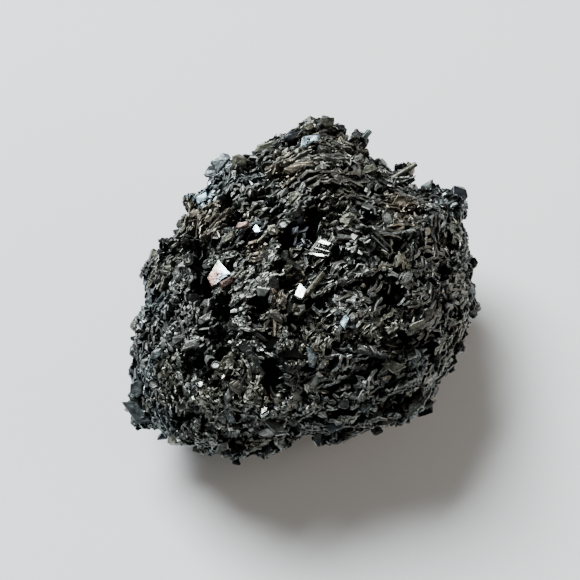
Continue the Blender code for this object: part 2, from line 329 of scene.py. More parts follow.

# The crystals that are large or bright enough to be known one by one. Across and up are in mm on
# the sight plane, and turn is the angle of the crystal's length there in degrees. Lit runs
# from 0, for a face square to the line of sight, to 1, for one that mirrors the window.
# Length, width and thickness are in mm. Shine is the face's brightness against the usual; set high
# on those that glint, it is partly a painted highlight over their real reflection of the window.
KNOWN_CRYSTALS = [Crystal(*row) for row in (
    # Left shoulder
    (-8.8, 16.4, 55.0, 0.36, 3.0, 1.8, 0.7, "steel", 1.1, "shard"),
    (-6.6, 16.1, 80.0, 0.18, 2.8, 2.3, 0.7, "olive", 0.95, "plate"),
    (-2.9, 18.0, 20.0, 0.12, 3.6, 1.8, 1.2, "olive", 0.95, "block"),
    (-10.0, 14.9, 65.0, 0.3, 2.2, 1.6, 0.6, "steel", 1.0, "shard"),
    (-11.1, 11.7, 40.0, 0.36, 1.9, 1.2, 0.5, "sky", 1.1, "shard"),
    (-8.3, 14.5, 85.0, 0.36, 1.4, 0.35, 0.5, "graphite", 1.15, "rod"),
    (-7.7, 14.5, 84.0, 0.36, 1.2, 0.35, 0.5, "graphite", 1.15, "rod"),
    (-7.0, 14.6, 86.0, 0.42, 1.3, 0.4, 0.5, "graphite", 1.2, "rod"),
    (-6.0, 12.7, 60.0, 0.54, 1.1, 0.8, 0.4, "graphite", 1.25, "shard"),
    (-5.1, 12.3, 70.0, 0.54, 0.9, 0.6, 0.4, "graphite", 1.2, "shard"),
    (-12.1, 9.6, 30.0, 0.24, 1.5, 1.0, 0.5, "bronze", 1.0, "shard"),
    (-10.4, 9.0, 60.0, 0.3, 1.2, 0.9, 0.5, "bronze", 0.9, "plate"),
    # Crest
    (2.7, 18.7, 15.0, 0.54, 2.8, 1.6, 0.5, "sky", 1.25, "shard"),
    (0.0, 19.4, 50.0, 0.0, 2.4, 1.4, 0.9, "navy", 0.9, "block"),
    (4.8, 21.5, 20.0, 0.0, 2.2, 1.7, 1.2, "olive", 0.6, "block"),
    (2.3, 20.7, 10.0, 0.12, 1.8, 1.2, 0.8, "olive", 1.05, "block"),
    (6.4, 18.4, 60.0, 0.3, 1.7, 1.2, 0.5, "bronze", 1.15, "shard"),
    (8.3, 19.5, 30.0, 0.12, 2.0, 1.0, 0.8, "graphite", 0.6, "block"),
    (9.8, 19.9, 50.0, 0.12, 1.6, 1.0, 0.8, "steel", 0.6, "rod"),
    (1.0, 15.7, 24.0, 0.27, 4.8, 1.2, 0.6, "bronze", 0.9, "shard"),
    (-0.6, 17.4, 30.0, 0.42, 1.1, 0.8, 0.4, "olive", 1.25, "shard"),
    # Rods and right corner
    (13.6, 14.6, 31.0, 0.12, 6.6, 1.0, 0.9, "olive", 0.68, "rod"),
    (14.4, 13.8, 22.0, 0.06, 3.8, 0.5, 0.5, "graphite", 0.6, "rod"),
    (21.2, 12.0, 50.0, 0.0, 3.4, 2.6, 1.6, "navy", 0.55, "block"),
    (17.4, 13.1, 30.0, 0.3, 2.0, 1.2, 0.5, "steel", 1.05, "shard"),
    (14.0, 11.0, 55.0, 0.3, 2.6, 1.9, 0.8, "bronze", 1.05, "ring"),
    (12.2, 12.3, 60.0, 0.42, 0.9, 0.7, 0.4, "olive", 1.25, "plate"),
    (12.4, 9.2, 100.0, 0.45, 2.5, 1.3, 0.7, "graphite", 1.25, "ring"),
    (10.8, 9.9, 98.0, 0.54, 1.0, 0.4, 0.4, "graphite", 1.3, "rod"),
    (11.4, 6.0, -45.0, 0.36, 3.0, 0.35, 0.4, "graphite", 1.15, "rod"),
    (12.1, 6.1, -44.0, 0.36, 2.2, 0.3, 0.4, "graphite", 1.15, "rod"),
    (13.7, 3.8, 40.0, 0.36, 1.6, 1.1, 0.5, "olive", 1.2, "shard"),
    (12.8, 2.4, 30.0, 1.0, 0.7, 0.4, 0.4, "graphite", 1.7, "shard"),
    # Middle
    (0.4, 11.9, 45.0, 0.3, 2.2, 1.6, 0.6, "olive", 1.0, "shard"),
    (-1.0, 12.3, 42.0, 0.3, 2.0, 0.8, 0.5, "graphite", 1.1, "shard"),
    (-6.0, 8.2, 5.0, 0.57, 1.5, 0.9, 0.5, "rose", 1.6, "shard"),
    (-4.2, 7.6, 110.0, 1.0, 1.1, 0.8, 0.5, "sky", 2.4, "shard"),
    (-4.1, 8.5, -5.0, 0.42, 1.5, 0.5, 0.4, "steel", 1.15, "shard"),
    (-2.2, 7.7, 10.0, 0.36, 1.7, 1.4, 0.5, "olive", 1.2, "plate"),
    (-0.9, 8.3, 60.0, 0.57, 1.3, 1.2, 0.5, "graphite", 1.5, "ring"),
    (0.5, 7.5, 20.0, 0.3, 1.1, 0.8, 0.4, "navy", 1.2, "shard"),
    (-3.6, 6.7, 45.0, 0.42, 1.5, 0.4, 0.4, "olive", 1.2, "rod"),
    (-4.8, 6.1, 20.0, 0.42, 1.3, 0.6, 0.4, "bronze", 1.2, "shard"),
    (-1.4, 5.3, 0.0, 1.0, 0.7, 0.5, 0.4, "graphite", 2.2, "shard"),
    (4.4, 5.8, -28.0, 1.0, 1.7, 0.6, 0.5, "graphite", 2.4, "shard"),
    (4.1, 5.0, -24.0, 1.0, 2.2, 0.35, 0.5, "graphite", 2.2, "rod"),
    (3.5, 4.3, -14.0, 1.0, 2.8, 0.4, 0.5, "graphite", 2.4, "shard"),
    (-6.5, 2.0, 48.0, 0.54, 1.5, 0.4, 0.5, "olive", 1.45, "rod"),
    (-5.9, 1.9, 47.0, 0.54, 1.4, 0.35, 0.5, "olive", 1.35, "rod"),
    (-5.3, 1.7, 46.0, 0.48, 1.4, 0.35, 0.5, "graphite", 1.25, "rod"),
    (3.0, 0.8, 50.0, 0.3, 4.2, 0.9, 0.8, "olive", 1.0, "rod"),
    (1.4, -0.5, 75.0, 1.0, 1.9, 1.3, 0.6, "graphite", 2.4, "shard"),
    (7.0, -3.9, 70.0, 0.85, 1.8, 0.9, 0.5, "sky", 1.8, "shard"),
    (8.0, -3.6, 60.0, 0.54, 1.0, 0.6, 0.4, "graphite", 1.4, "shard"),
    (8.7, -4.5, 40.0, 0.51, 0.9, 0.5, 0.4, "graphite", 1.35, "shard"),
    (6.3, -5.1, 50.0, 0.51, 1.0, 0.6, 0.4, "graphite", 1.3, "shard"),
    (-1.7, -3.4, 20.0, 0.18, 2.4, 1.8, 0.6, "umber", 0.9, "plate"),
    (-0.9, -1.6, 60.0, 0.24, 1.6, 0.9, 0.5, "umber", 0.9, "shard"),
    # Left and bottom
    (-17.4, 4.2, 70.0, 0.27, 2.3, 1.6, 0.5, "olive", 1.1, "shard"),
    (-13.7, 2.9, 30.0, 0.54, 1.1, 0.8, 0.4, "graphite", 1.3, "shard"),
    (-10.8, -3.6, 25.0, 0.51, 2.0, 1.0, 0.4, "graphite", 1.4, "shard"),
    (-13.5, -5.1, -75.0, 0.36, 1.1, 0.3, 0.5, "graphite", 1.15, "rod"),
    (-12.9, -5.2, -74.0, 0.36, 1.1, 0.3, 0.5, "graphite", 1.15, "rod"),
    (-12.4, -6.8, 15.0, 0.3, 2.6, 1.1, 0.5, "graphite", 1.05, "shard"),
    (-9.4, -9.6, 10.0, 0.66, 1.3, 0.9, 0.5, "graphite", 1.6, "ring"),
    (-8.0, -9.2, 60.0, 0.3, 1.9, 1.5, 0.5, "olive", 0.9, "ring"),
    (-11.3, -12.0, 40.0, 1.0, 1.0, 0.9, 0.5, "graphite", 2.0, "ring"),
    (-8.4, -11.2, 80.0, 1.0, 1.0, 0.4, 0.4, "olive", 2.2, "shard"),
    (-6.6, -12.2, 30.0, 0.18, 2.8, 2.2, 0.6, "umber", 0.9, "plate"),
    (-7.9, -15.6, -60.0, 0.24, 2.8, 1.0, 0.5, "steel", 0.8, "shard"),
    (-3.3, -15.5, 60.0, 1.0, 1.4, 1.3, 0.6, "graphite", 2.6, "shard"),
    (-2.2, -15.7, 100.0, 0.3, 1.2, 0.9, 0.5, "graphite", 1.1, "plate"),
    (-1.9, -17.3, -50.0, 0.36, 3.1, 1.5, 0.7, "graphite", 1.25, "shard"),
    (2.8, -8.6, -80.0, 0.3, 2.6, 1.2, 0.5, "steel", 1.15, "shard"),
    (12.9, -9.6, -25.0, 0.18, 2.6, 1.6, 0.5, "olive", 1.0, "shard"),
    (-19.5, -7.8, 84.0, 0.12, 2.2, 1.6, 1.4, "steel", 0.55, "block"),
    (-19.5, -10.0, 92.0, 0.12, 2.8, 1.8, 1.4, "steel", 0.75, "block"),
    (-19.4, -12.4, 88.0, 0.12, 3.0, 1.8, 1.4, "steel", 0.9, "plate"),
    (-19.2, -15.6, -53.0, 0.36, 3.7, 2.1, 1.8, "steel", 0.75, "shard"),
    (-17.6, -15.0, -20.0, 0.3, 2.4, 1.6, 0.8, "olive", 1.0, "ring"),
    (-16.0, -18.4, 10.0, 0.36, 1.8, 1.2, 0.5, "steel", 1.15, "shard"),
    (-17.8, -1.4, 80.0, 0.12, 2.2, 1.3, 0.8, "steel", 0.9, "plate"),
    (-18.1, 1.2, 78.0, 0.36, 2.0, 1.2, 0.6, "sky", 1.0, "shard"),
    # Smooth plates between the ridges
    (7.4, 9.0, 20.0, 0.24, 2.4, 1.6, 0.5, "olive", 0.85, "plate"),
    (10.2, 15.4, 15.0, 0.3, 2.6, 1.1, 0.5, "olive", 0.95, "shard"),
    (8.2, 16.6, 24.0, 0.3, 2.0, 0.8, 0.5, "graphite", 0.9, "shard"),
    (14.8, 1.5, 40.0, 0.3, 1.7, 1.2, 0.5, "graphite", 0.95, "shard"),
    (17.4, -3.0, 30.0, 0.2, 2.0, 1.4, 0.5, "umber", 0.75, "plate"),
    (16.0, -4.6, 20.0, 0.2, 2.4, 1.1, 0.5, "olive", 0.7, "shard"),
    (11.3, -4.0, 60.0, 0.3, 1.4, 1.1, 0.5, "olive", 0.95, "plate"),
    (16.8, -10.2, 30.0, 0.2, 1.6, 1.2, 0.5, "steel", 0.75, "plate"),
    (14.5, -12.0, 15.0, 0.24, 2.4, 0.8, 0.5, "graphite", 0.9, "shard"),
    (9.6, -14.9, 20.0, 0.2, 2.0, 1.3, 0.5, "steel", 0.75, "plate"),
    (5.7, -17.4, 15.0, 0.2, 2.8, 1.2, 0.5, "steel", 0.75, "shard"),
    (-8.8, -16.3, 70.0, 0.3, 1.8, 1.4, 0.5, "graphite", 1.0, "plate"),
    (-8.6, -20.0, 20.0, 0.3, 2.0, 1.1, 0.5, "graphite", 0.95, "shard"),
    (-8.0, -13.6, 50.0, 0.3, 1.6, 1.1, 0.5, "graphite", 1.0, "shard"),
    (-14.0, -6.2, 25.0, 0.3, 2.2, 1.0, 0.5, "graphite", 1.0, "shard"),
    (-16.8, -8.1, 40.0, 0.3, 2.0, 1.3, 0.5, "steel", 1.0, "plate"),
    (-18.2, -9.4, 70.0, 0.3, 1.6, 1.1, 0.5, "graphite", 1.0, "shard"),
    (-17.4, -11.9, 30.0, 0.3, 1.5, 1.3, 0.5, "graphite", 1.0, "ring"),
    (-15.6, 2.3, 60.0, 0.24, 2.2, 1.6, 0.5, "olive", 0.85, "plate"),
    (-7.8, 6.8, 30.0, 0.24, 1.5, 1.1, 0.5, "olive", 0.85, "shard"),
    # Under the kite
    (-8.2, 0.9, 30.0, 0.24, 2.1, 0.9, 0.5, "rose", 0.5, "shard"),
)]
KNOWN_RISE = -0.1  # mm that a known crystal's face stands above the skin
GLINT_RISE = 0.35  # mm that the face of one that glints does
GLINTING = 0.5  # how lit a crystal that glints is
MIRRORING = 0.9  # how lit one that mirrors the window is
KNOWN_TINT = 0.6  # how far a known crystal takes its film's colour
KNOWN_SIZE = 0.88  # a known crystal's length and width against those listed
KNOWN_SHINE = 0.8  # its brightness against that listed
CORNER_NUDGE = 0.04  # how far a corner strays, against the width
KNOWN_CHAMFER = 0.05  # mm
PLATE_SLANT = (0.15, 0.4)  # how far the ends of a four-sided plate slant
ROD_END = 0.42  # radius of a rod's thin end
ROD_SLANT = 0.12  # how far the ends of a rod slant
RING_RIM = 0.16  # width of a ring's rim
RING_DEPTH = 0.4  # how far its middle lies below its rim
BREAK_TILT = 0.15  # how far the plane of a broken corner leans
STEP_RIMS = (0.05, 0.13)  # width left round a growth step
STEP_RISES = (0.08, 0.22)  # height of a growth step
STEP_DRIFT = 0.03  # how far a growth step lies off the middle
MOST_STEPS = 3
MIRROR_ROUGHNESS = 0.18
GROWN_ROUGHNESS = 0.42

# Large crystals of the same kinds on the sides that no known one is on.
CRYSTALS_OUT_OF_SIGHT = 130
LENGTHS_OUT_OF_SIGHT = (1.0, 3.0)  # mm
ROD_WIDTH = 0.25  # against the length
WIDTHS_OUT_OF_SIGHT = (0.45, 0.85)  # against the length
THICKNESSES_OUT_OF_SIGHT = (0.5, 1.1)  # mm
RISES_OUT_OF_SIGHT = (0.0, 0.4)  # mm
TILT_OUT_OF_SIGHT = 0.2
SHINES_OUT_OF_SIGHT = (0.6, 1.2)
FILMS_OUT_OF_SIGHT = (
    "graphite", "graphite", "graphite", "steel", "olive", "umber", "bronze", "sky",
)
AWAY_FROM_SIGHT = 0.15  # least that skin out of sight points away from it
STEEPEST_OVERHANG = -0.7  # lowest outward height of a side that isn't the foot
SPARE_SAMPLES = 5  # places tried for each one kept

# The largest glint, a kite-shaped face: the across and up of each corner in mm on the sight plane,
# with the film and its shine there. The shines paint light across the one face: a painted
# highlight at the bright corners, and painted shade at the dim rose ones.
KITE_CORNERS = (
    (-9.1, 3.8, "graphite", 1.4),
    (-10.5, 1.6, "rose", 0.2),
    (-9.9, 0.5, "rose", 0.22),
    (-7.6, 2.1, "sky", 1.4),
)
# The peak's low shine is painted shade, like that of the dim corners.
KITE_PEAK_FILM = ("rose", 0.34)
KITE_FLANK_FILM = ("umber", 0.8)
KITE_LIT = 0.88
KITE_RISE = 0.75  # mm that the face stands above the skin
KITE_PEAK = 0.1  # mm that its middle stands above its corners
KITE_PEAK_SHIFT = -0.1  # mm across
KITE_DEPTH = 1.4  # mm
KITE_UNDERCUT = 0.5  # mm that its foot is below its face

# Bundles of plates that grew together. Stray, in radians, is how loosely they lie in line.
BUNDLE_SPACING = 3.1  # mm
BUNDLE_TRIES = 4.0  # places tried for each bundle
BUNDLE_TURN = 0.8  # turn from the growth guides for each radian of stray
BUNDLE_LAID_DOWN = 0.6  # share of its outward direction that is taken away
BUNDLE_TIP = (0.15, 0.4)  # tip out of the skin, and more for each radian of stray
BUNDLE_ROLL = (0.4, 0.5)  # radians of roll, and more for each radian of stray
BUNDLE_LEAN = 0.15  # radians that its ridges lean
BUNDLE_SHINES = (0.75, 1.15)
BUNDLE_SIZES = (0.8, 1.2)
EASY_LENGTHWISE = 0.6  # how much less distance counts along a bundle
HARD_LAYERWISE = 0.5  # how much more it counts across its layers
PLACES_AT_ONCE = 2000  # places whose bundles are looked up together
BLOCK_SIZE = 2.2  # mm across the blocks that stand high or low in a bundle
BLOCK_HEIGHT = 0.5  # mm
HIGHEST_BLOCK = 0.25  # mm
CRACK_WIDTH = 0.35  # mm, how far a bundle's worn edge reaches into it
CRACK_DEPTH = 0.9  # mm

# The films that bundles have, and how many bundles have each.
FILMS = ("graphite", "steel", "umber", "olive")
FILM_SHARES = (0.76, 0.06, 0.09, 0.09)
BUNDLE_TINT = 0.35  # how far a bundle takes its film's colour
PATCH_TINT = 0.45  # how far a patch takes its film's colour
LAST_IN_SIGHT = 0.1  # most that skin in sight points away from it

# The small crystals. Shapes are cut on a unit crystal or, where it says so, in mm.
CLEAN_CHAMFER = 0.07  # mm
CHIPPED_CHAMFER = 0.06  # mm
SPLINTER_CHAMFER = 0.05  # mm
LEVEL_EDGE = 0.2  # most that a chamfered edge climbs, for the thickness
BREAK_PLACE = (0.12, 0.0, 0.0)
BREAK_SIDE = Vector((1.0, 0.35, 0.12))
STEP_INSET = 0.22  # mm
STEP_SHIFT = (0.12, -0.06, 0.16)  # mm
HOPPER_RIM = 0.2  # mm
HOPPER_DEPTH = 0.14  # mm
CHIP_TOP = 0.38
CHIP_LEAN = (0.25, -0.15)
SPLINTER_END = (1.0, 0.45, 0.7)
SPLINTER_SHIFT = (0.0, 0.12, 0.0)
SIZE_SPREAD = 0.28
LENGTHENING = (0.6, 1.5)
WIDENING = (0.7, 1.25)
THICKENING = (0.65, 1.5)
FLAT_SHARE = 0.6  # crystals that lie flat on the crust
FLAT_WOBBLE = 0.3  # radians
EDGE_WOBBLE = (0.15, 0.4)  # radians on edge, and more for each radian of stray
CRYSTAL_STAND = 0.12  # mm that crystals stand proud, and that they differ by
CRYSTAL_SHINES = (0.5, 1.2)
CRYSTAL_ROUGHNESS = (0.28, 0.55)
POLISHED_SHARE = 0.06  # crystals with a mirror finish
POLISHED_ROUGHNESS = 0.15
CRYSTAL_UNDERSIDE = -0.45  # outward height below which skin is the underside
HIDDEN_SHARE = 0.45  # how densely crystals grow there
LOWEST_CRYSTAL = 0.1  # mm above the floor
BENDS = ((2.4, 0.26), (0.8, 0.12))  # mm across and mm deep of the bends in all crystals

# What each point that a crystal grows on holds.
POINT_ATTRIBUTES = {
    "long_axis": "FLOAT_VECTOR",
    "face_axis": "FLOAT_VECTOR",
    "growth": "FLOAT_VECTOR",
    "kind": "INT",
    "film": "FLOAT_COLOR",
}


class ClusterShape(bpy.types.PropertyGroup):
    """Sizes of the crystals."""

    bundle_step: bpy.props.FloatProperty(
        name="Bundle step",
        description="How much one bundle of plates stands higher than the next",
        default=0.75 * MM,
        unit="LENGTH",
    )
    crystal_length: bpy.props.FloatProperty(
        name="Crystal length",
        description="Usual length of a plate",
        default=1.3 * MM,
        unit="LENGTH",
    )
    crystal_width: bpy.props.FloatProperty(
        name="Crystal width",
        description="Usual width of a plate",
        default=0.9 * MM,
        unit="LENGTH",
    )
    crystal_thickness: bpy.props.FloatProperty(
        name="Crystal thickness",
        description="Usual thickness of a plate",
        default=0.42 * MM,
        unit="LENGTH",
    )
    crystal_count: bpy.props.IntProperty(
        name="Crystal count",
        description="Number of small crystals on the whole cluster",
        default=3400,
    )


def linear_colour(hex_colour):
    """Turn an sRGB hex colour into linear red, green and blue."""
    channels = []
    for place in (1, 3, 5):
        value = int(hex_colour[place:place + 2], 16) / 255.0
        if value <= 0.04045:
            channels.append(value / 12.92)
        else:
            channels.append(((value + 0.055) / 1.055) ** 2.4)
    return channels


def colour_property(name, description, hex_colour):
    """A colour that the user can change."""
    return bpy.props.FloatVectorProperty(
        name=name,
        description=description,
        default=linear_colour(hex_colour),
        subtype="COLOR",
        size=3,
        min=0.0,
        max=1.0,
    )


class ClusterColours(bpy.types.PropertyGroup):
    """Colours of the crystals and the floor."""

    graphite: colour_property("Graphite", "Bare crystal face", "#727572")
    steel: colour_property("Steel", "Face with a thin, bluish film", "#6B777C")
    sky: colour_property("Sky", "Face with a thin, pale blue film", "#7F98A6")
    navy: colour_property("Navy", "Face with a dark blue film", "#4A5468")
    bronze: colour_property("Bronze", "Face with a thicker, brown film", "#857864")
    umber: colour_property("Umber", "Face with a dull brown film", "#6C675B")
    olive: colour_property("Olive", "Face with a greenish film", "#7A7A69")
    rose: colour_property("Rose", "Face with a pink film", "#A9897F")
    floor: colour_property("Floor", "Plain pale floor", "#DDE1E4")


# ---------------------------------------------------------------- helpers


def set_inputs(node, inputs):
    """Set a node's inputs, given in order or by name.

    Each is a value, an output to link, or a node, whose first output in use is linked.
    """
    for name, value in inputs.items() if isinstance(inputs, dict) else enumerate(inputs):
        if isinstance(value, bpy.types.Node):
            value = next(output for output in value.outputs if output.enabled)
        if isinstance(value, bpy.types.NodeSocket):
            node.id_data.links.new(value, node.inputs[name])
        else:
            node.inputs[name].default_value = value


def add_node(tree, kind, inputs=(), **settings):
    """Add a node with its settings, and set its inputs."""
    node = tree.nodes.new(kind)
    for name, value in settings.items():
        setattr(node, name, value)
    set_inputs(node, inputs)
    return node


def mesh_from(shape, name):
    """Turn a finished shape into a mesh."""
    mesh = bpy.data.meshes.new(name)
    shape.to_mesh(mesh)
    shape.free()
    return mesh


def add_object(name, data):
    """Put an object in the scene."""
    thing = bpy.data.objects.new(name, data)
    bpy.context.scene.collection.objects.link(thing)
    return thing


def applied_mesh(holder):
    """The mesh of an object with its modifiers applied. The object is removed."""
    bpy.context.view_layer.update()
    evaluated = holder.evaluated_get(bpy.context.evaluated_depsgraph_get())
    mesh = bpy.data.meshes.new_from_object(evaluated)
    bpy.data.objects.remove(holder)
    return mesh


def everything(shape):
    """All the corners, edges and faces of a shape."""
    return shape.verts[:] + shape.edges[:] + shape.faces[:]


def top_of(shape):
    """The uppermost face of a shape."""
    return max(shape.faces, key=lambda face: face.calc_center_median().z)


def chamfer(shape, edges, offset, clamped=False):
    """Cut a flat chamfer along some of a shape's edges."""
    bmesh.ops.bevel(
        shape,
        geom=edges,
        offset=offset,
        segments=1,
        profile=0.5,
        affect="EDGES",
        material=-1,
        clamp_overlap=clamped,
    )


def cut_off(shape, place, side):
    """Cut a shape along a plane, drop what lies beyond it and close the cut."""
    cut = bmesh.ops.bisect_plane(
        shape,
        geom=everything(shape),
        plane_co=place,
        plane_no=side,
        clear_outer=True,
    )
    rim = [item for item in cut["geom_cut"] if isinstance(item, bmesh.types.BMEdge)]
    if rim:
        bmesh.ops.contextual_create(shape, geom=rim)


def fade(gap, radius, steepness, overrun):
    """Share of a hollow's depth or a swell's height that is left at a gap from its middle."""
    return np.clip(steepness * (1.0 - gap / (overrun * radius)), 0.0, 1.0)


def loosened(least, more, stray):
    """A spread that grows with how loosely a bundle's plates lie in line."""
    return least + more * stray


# ---------------------------------------------------------------- materials


def new_material(name):
    """A material with an empty Principled surface."""
    material = bpy.data.materials.new(name)
    material.use_nodes = True
    return material, material.node_tree, material.node_tree.nodes["Principled BSDF"]


def plate_pattern(tree, strand):
    """The relief of plates grown together, in mm, its crests, and each plate's random colour.

    Strand counts plates: one unit is one plate. The same nodes shape the crust's mesh and
    its finish, so the two agree.
    """
    math_node, vector_node, range_node = (
        "ShaderNodeMath", "ShaderNodeVectorMath", "ShaderNodeMapRange",
    )
    middle = (0.5, 0.5, 0.5)
    waves = add_node(
        tree,
        "ShaderNodeTexNoise",
        {"Vector": strand, "Scale": BEND_SCALE, "Detail": 2.0},
    )
    bend = add_node(tree, vector_node, (waves.outputs["Color"], middle), operation="SUBTRACT")
    bend = add_node(tree, vector_node, (bend, BEND_REACH), operation="MULTIPLY")
    bent = add_node(tree, vector_node, (strand, bend), operation="ADD").outputs["Vector"]
    plate = add_node(tree, "ShaderNodeTexVoronoi", {"Vector": bent, "Scale": 1.0})
    rim = add_node(
        tree,
        "ShaderNodeTexVoronoi",
        {"Vector": bent, "Scale": 1.0},
        feature="DISTANCE_TO_EDGE",
    )
    block = add_node(tree, "ShaderNodeTexVoronoi", {"Vector": bent, "Scale": BLOCK_SCALE})
    tint = plate.outputs["Color"]
    lean = add_node(tree, vector_node, (tint, middle), operation="SUBTRACT")
    inside = add_node(tree, vector_node, (bent, plate.outputs["Position"]), operation="SUBTRACT")
    climb = add_node(tree, vector_node, (lean, inside), operation="DOT_PRODUCT")
    tilt = add_node(tree, math_node, (climb.outputs["Value"], PLATE_TILT), operation="MULTIPLY")
    pick = add_node(tree, "ShaderNodeSeparateXYZ", (tint,))
    stand = add_node(tree, range_node, (pick.outputs["X"], 0.0, 1.0, *PLATE_STANDS))
    block_pick = add_node(tree, "ShaderNodeSeparateXYZ", (block.outputs["Color"],))
    block_stand = add_node(tree, range_node, (block_pick.outputs["X"], 0.0, 1.0, *BLOCK_STANDS))
    groove = add_node(
        tree,
        range_node,
        (rim.outputs["Distance"], 0.0, GROOVE_WIDTH, -GROOVE_DEPTH, 0.0),
    )
    worm = add_node(
        tree,
        "ShaderNodeTexNoise",
        {"Vector": bent, "Scale": CREST_SCALE, "Detail": 1.5},
    )
    off_crest = add_node(tree, math_node, (worm.outputs["Fac"], 0.5), operation="SUBTRACT")
    off_crest = add_node(tree, math_node, (off_crest,), operation="ABSOLUTE")
    crest = add_node(tree, range_node, (off_crest, 0.0, CREST_WIDTH, *CREST_STANDS))
    height = tilt
    for part in (stand, block_stand, groove, crest):
        height = add_node(tree, math_node, (height, part), operation="ADD")
    return height, crest, tint


def crust_material():
    """Grown silicon carbide in thin plates, left as it cooled.

    The plates' edges catch the light on their relief. The crests also get a painted highlight, and
    the grooves between them are painted as good as black with painted shade.
    """
    material, tree, surface = new_material("silicon_carbide_crust")
    strand = add_node(tree, "ShaderNodeAttribute", attribute_name="strand")
    film = add_node(tree, "ShaderNodeAttribute", attribute_name="film")
    height, crest, tint = plate_pattern(tree, strand.outputs["Vector"])
    pick = add_node(tree, "ShaderNodeSeparateXYZ", (tint,))
    bright = add_node(tree, "ShaderNodeMapRange", (pick.outputs["Y"], 0.0, 1.0, *PLATE_GREYS))
    # Painted shade down in the grooves, and a painted highlight on the crests.
    for part, heights, shares in (
        (height, OPEN_HEIGHTS, PAINTED_GROOVE_SHADE),
        (crest, CREST_STANDS[::-1], PAINTED_CREST_LIGHT[::-1]),
    ):
        share = add_node(tree, "ShaderNodeMapRange", (part, *heights, *shares))
        bright = add_node(tree, "ShaderNodeMath", (bright, share), operation="MULTIPLY")
    set_inputs(surface, {
        "Base Color": add_node(
            tree,
            "ShaderNodeVectorMath",
            {"Vector": film.outputs["Color"], "Scale": bright},
            operation="SCALE",
        ),
        "Metallic": 1.0,
        "Roughness": add_node(
            tree,
            "ShaderNodeMapRange",
            (pick.outputs["Z"], 0.0, 1.0, *CRUST_ROUGHNESS),
        ),
        "Normal": add_node(
            tree,
            "ShaderNodeBump",
            {"Strength": RELIEF_STRENGTH, "Distance": MM, "Height": height},
        ),
    })
    return material


def faces_material(name, mottle_size, ripple_size, ripple_depth, painted_rim_light):
    """Silicon carbide as the film attribute colours it: red, green, blue and roughness.

    It is opaque and reflects about a fifth of the light that meets a face, as an index of
    2.65 gives, so a face goes from black to bright grey with the light. Sizes are in mm.
    """
    material, tree, surface = new_material(name)
    place = add_node(tree, "ShaderNodeTexCoord").outputs["Object"]
    film = add_node(tree, "ShaderNodeAttribute", attribute_name="film")
    mottle = add_node(
        tree,
        "ShaderNodeTexNoise",
        {"Vector": place, "Scale": 1.0 / (mottle_size * MM), "Detail": 3.0, "Roughness": 0.6},
    )
    bright = add_node(
        tree,
        "ShaderNodeMapRange",
        (mottle.outputs["Fac"], *MOTTLE_RANGE, *MOTTLE_SHARES),
    )
    # On the ridges the rim attribute paints light and shade: a painted highlight at the rim, and
    # painted shade below it.
    if painted_rim_light:
        rim = add_node(tree, "ShaderNodeAttribute", attribute_name="rim").outputs["Fac"]
        bright = add_node(tree, "ShaderNodeMath", (bright, rim), operation="MULTIPLY")
    ripple = add_node(
        tree,
        "ShaderNodeTexNoise",
        {"Vector": place, "Scale": 1.0 / (ripple_size * MM), "Detail": 3.0},
    )
    set_inputs(surface, {
        "Base Color": add_node(
            tree,
            "ShaderNodeVectorMath",
            {"Vector": film.outputs["Color"], "Scale": bright},
            operation="SCALE",
        ),
        "Metallic": 1.0,
        "Roughness": film.outputs["Alpha"],
        "Normal": add_node(
            tree,
            "ShaderNodeBump",
            {
                "Strength": RELIEF_STRENGTH,
                "Distance": ripple_depth * MM,
                "Height": ripple.outputs["Fac"],
            },
        ),
    })
    return material


def crystal_material():
    """Single crystals: smooth grown faces with faint growth steps."""
    return faces_material(
        "silicon_carbide_faces",
        mottle_size=0.6,
        ripple_size=0.35,
        ripple_depth=0.12,
        painted_rim_light=False,
    )


def ridge_material():
    """Rims of plates that stand on edge, with a painted highlight at the rim and painted shade
    down between them.
    """
    return faces_material(
        "silicon_carbide_rims",
        mottle_size=0.3,
        ripple_size=0.25,
        ripple_depth=0.06,
        painted_rim_light=True,
    )


# ---------------------------------------------------------------- places on the lump


def sight_plane(point):
    """Where a point in mm shows on the sight plane: across and up."""
    offset = point - SIGHT_TARGET
    shrink = SIGHT_DISTANCE / (SIGHT_DISTANCE + offset.dot(INWARDS))
    return offset.dot(ACROSS) * shrink, offset.dot(UPWARDS) * shrink


def sight_planes(places):
    """The same for an array of points in mm."""
    offsets = places - np.array(SIGHT_TARGET)
    shrink = SIGHT_DISTANCE / (SIGHT_DISTANCE + offsets @ np.array(INWARDS))
    return offsets @ np.array(ACROSS) * shrink, offsets @ np.array(UPWARDS) * shrink


def sight_point(across, up):
    """The point of the sight plane, in mm, at a distance across and up."""
    return SIGHT_TARGET + ACROSS * across + UPWARDS * up


def on_surface(surface, across, up):
    """Where the line of sight meets a surface in mm, or nothing where it misses."""
    return surface.ray_cast(EYE, (sight_point(across, up) - EYE).normalized())[0]


def sector_of(place):
    """The side of the lump that a place is on."""
    if place.z < UNDERSIDE_TOP:
        return "underside"
    quarter = int(((math.degrees(math.atan2(place.y, place.x)) + 45.0) % 360.0) / 90.0)
    return SECTORS[quarter]


def growth_at(across, up):
    """Angle of the crystals' length on the sight plane, and how far they stray, in radians."""
    turn_cos = 0.0
    turn_sin = 0.0
    stray = 0.0
    total = 0.0
    for guide_across, guide_up, angle, spread in GROWTH_GUIDES:
        gap = math.hypot(across - guide_across, up - guide_up)
        weight = 1.0 / (1.0 + (gap / GUIDE_REACH) ** 4)
        # A crystal's length has no front or back, so angles are blended at twice their size.
        turn_cos += weight * math.cos(2.0 * math.radians(angle))
        turn_sin += weight * math.sin(2.0 * math.radians(angle))
        stray += weight * math.radians(spread)
        total += weight
    return 0.5 * math.atan2(turn_sin, turn_cos), stray / total


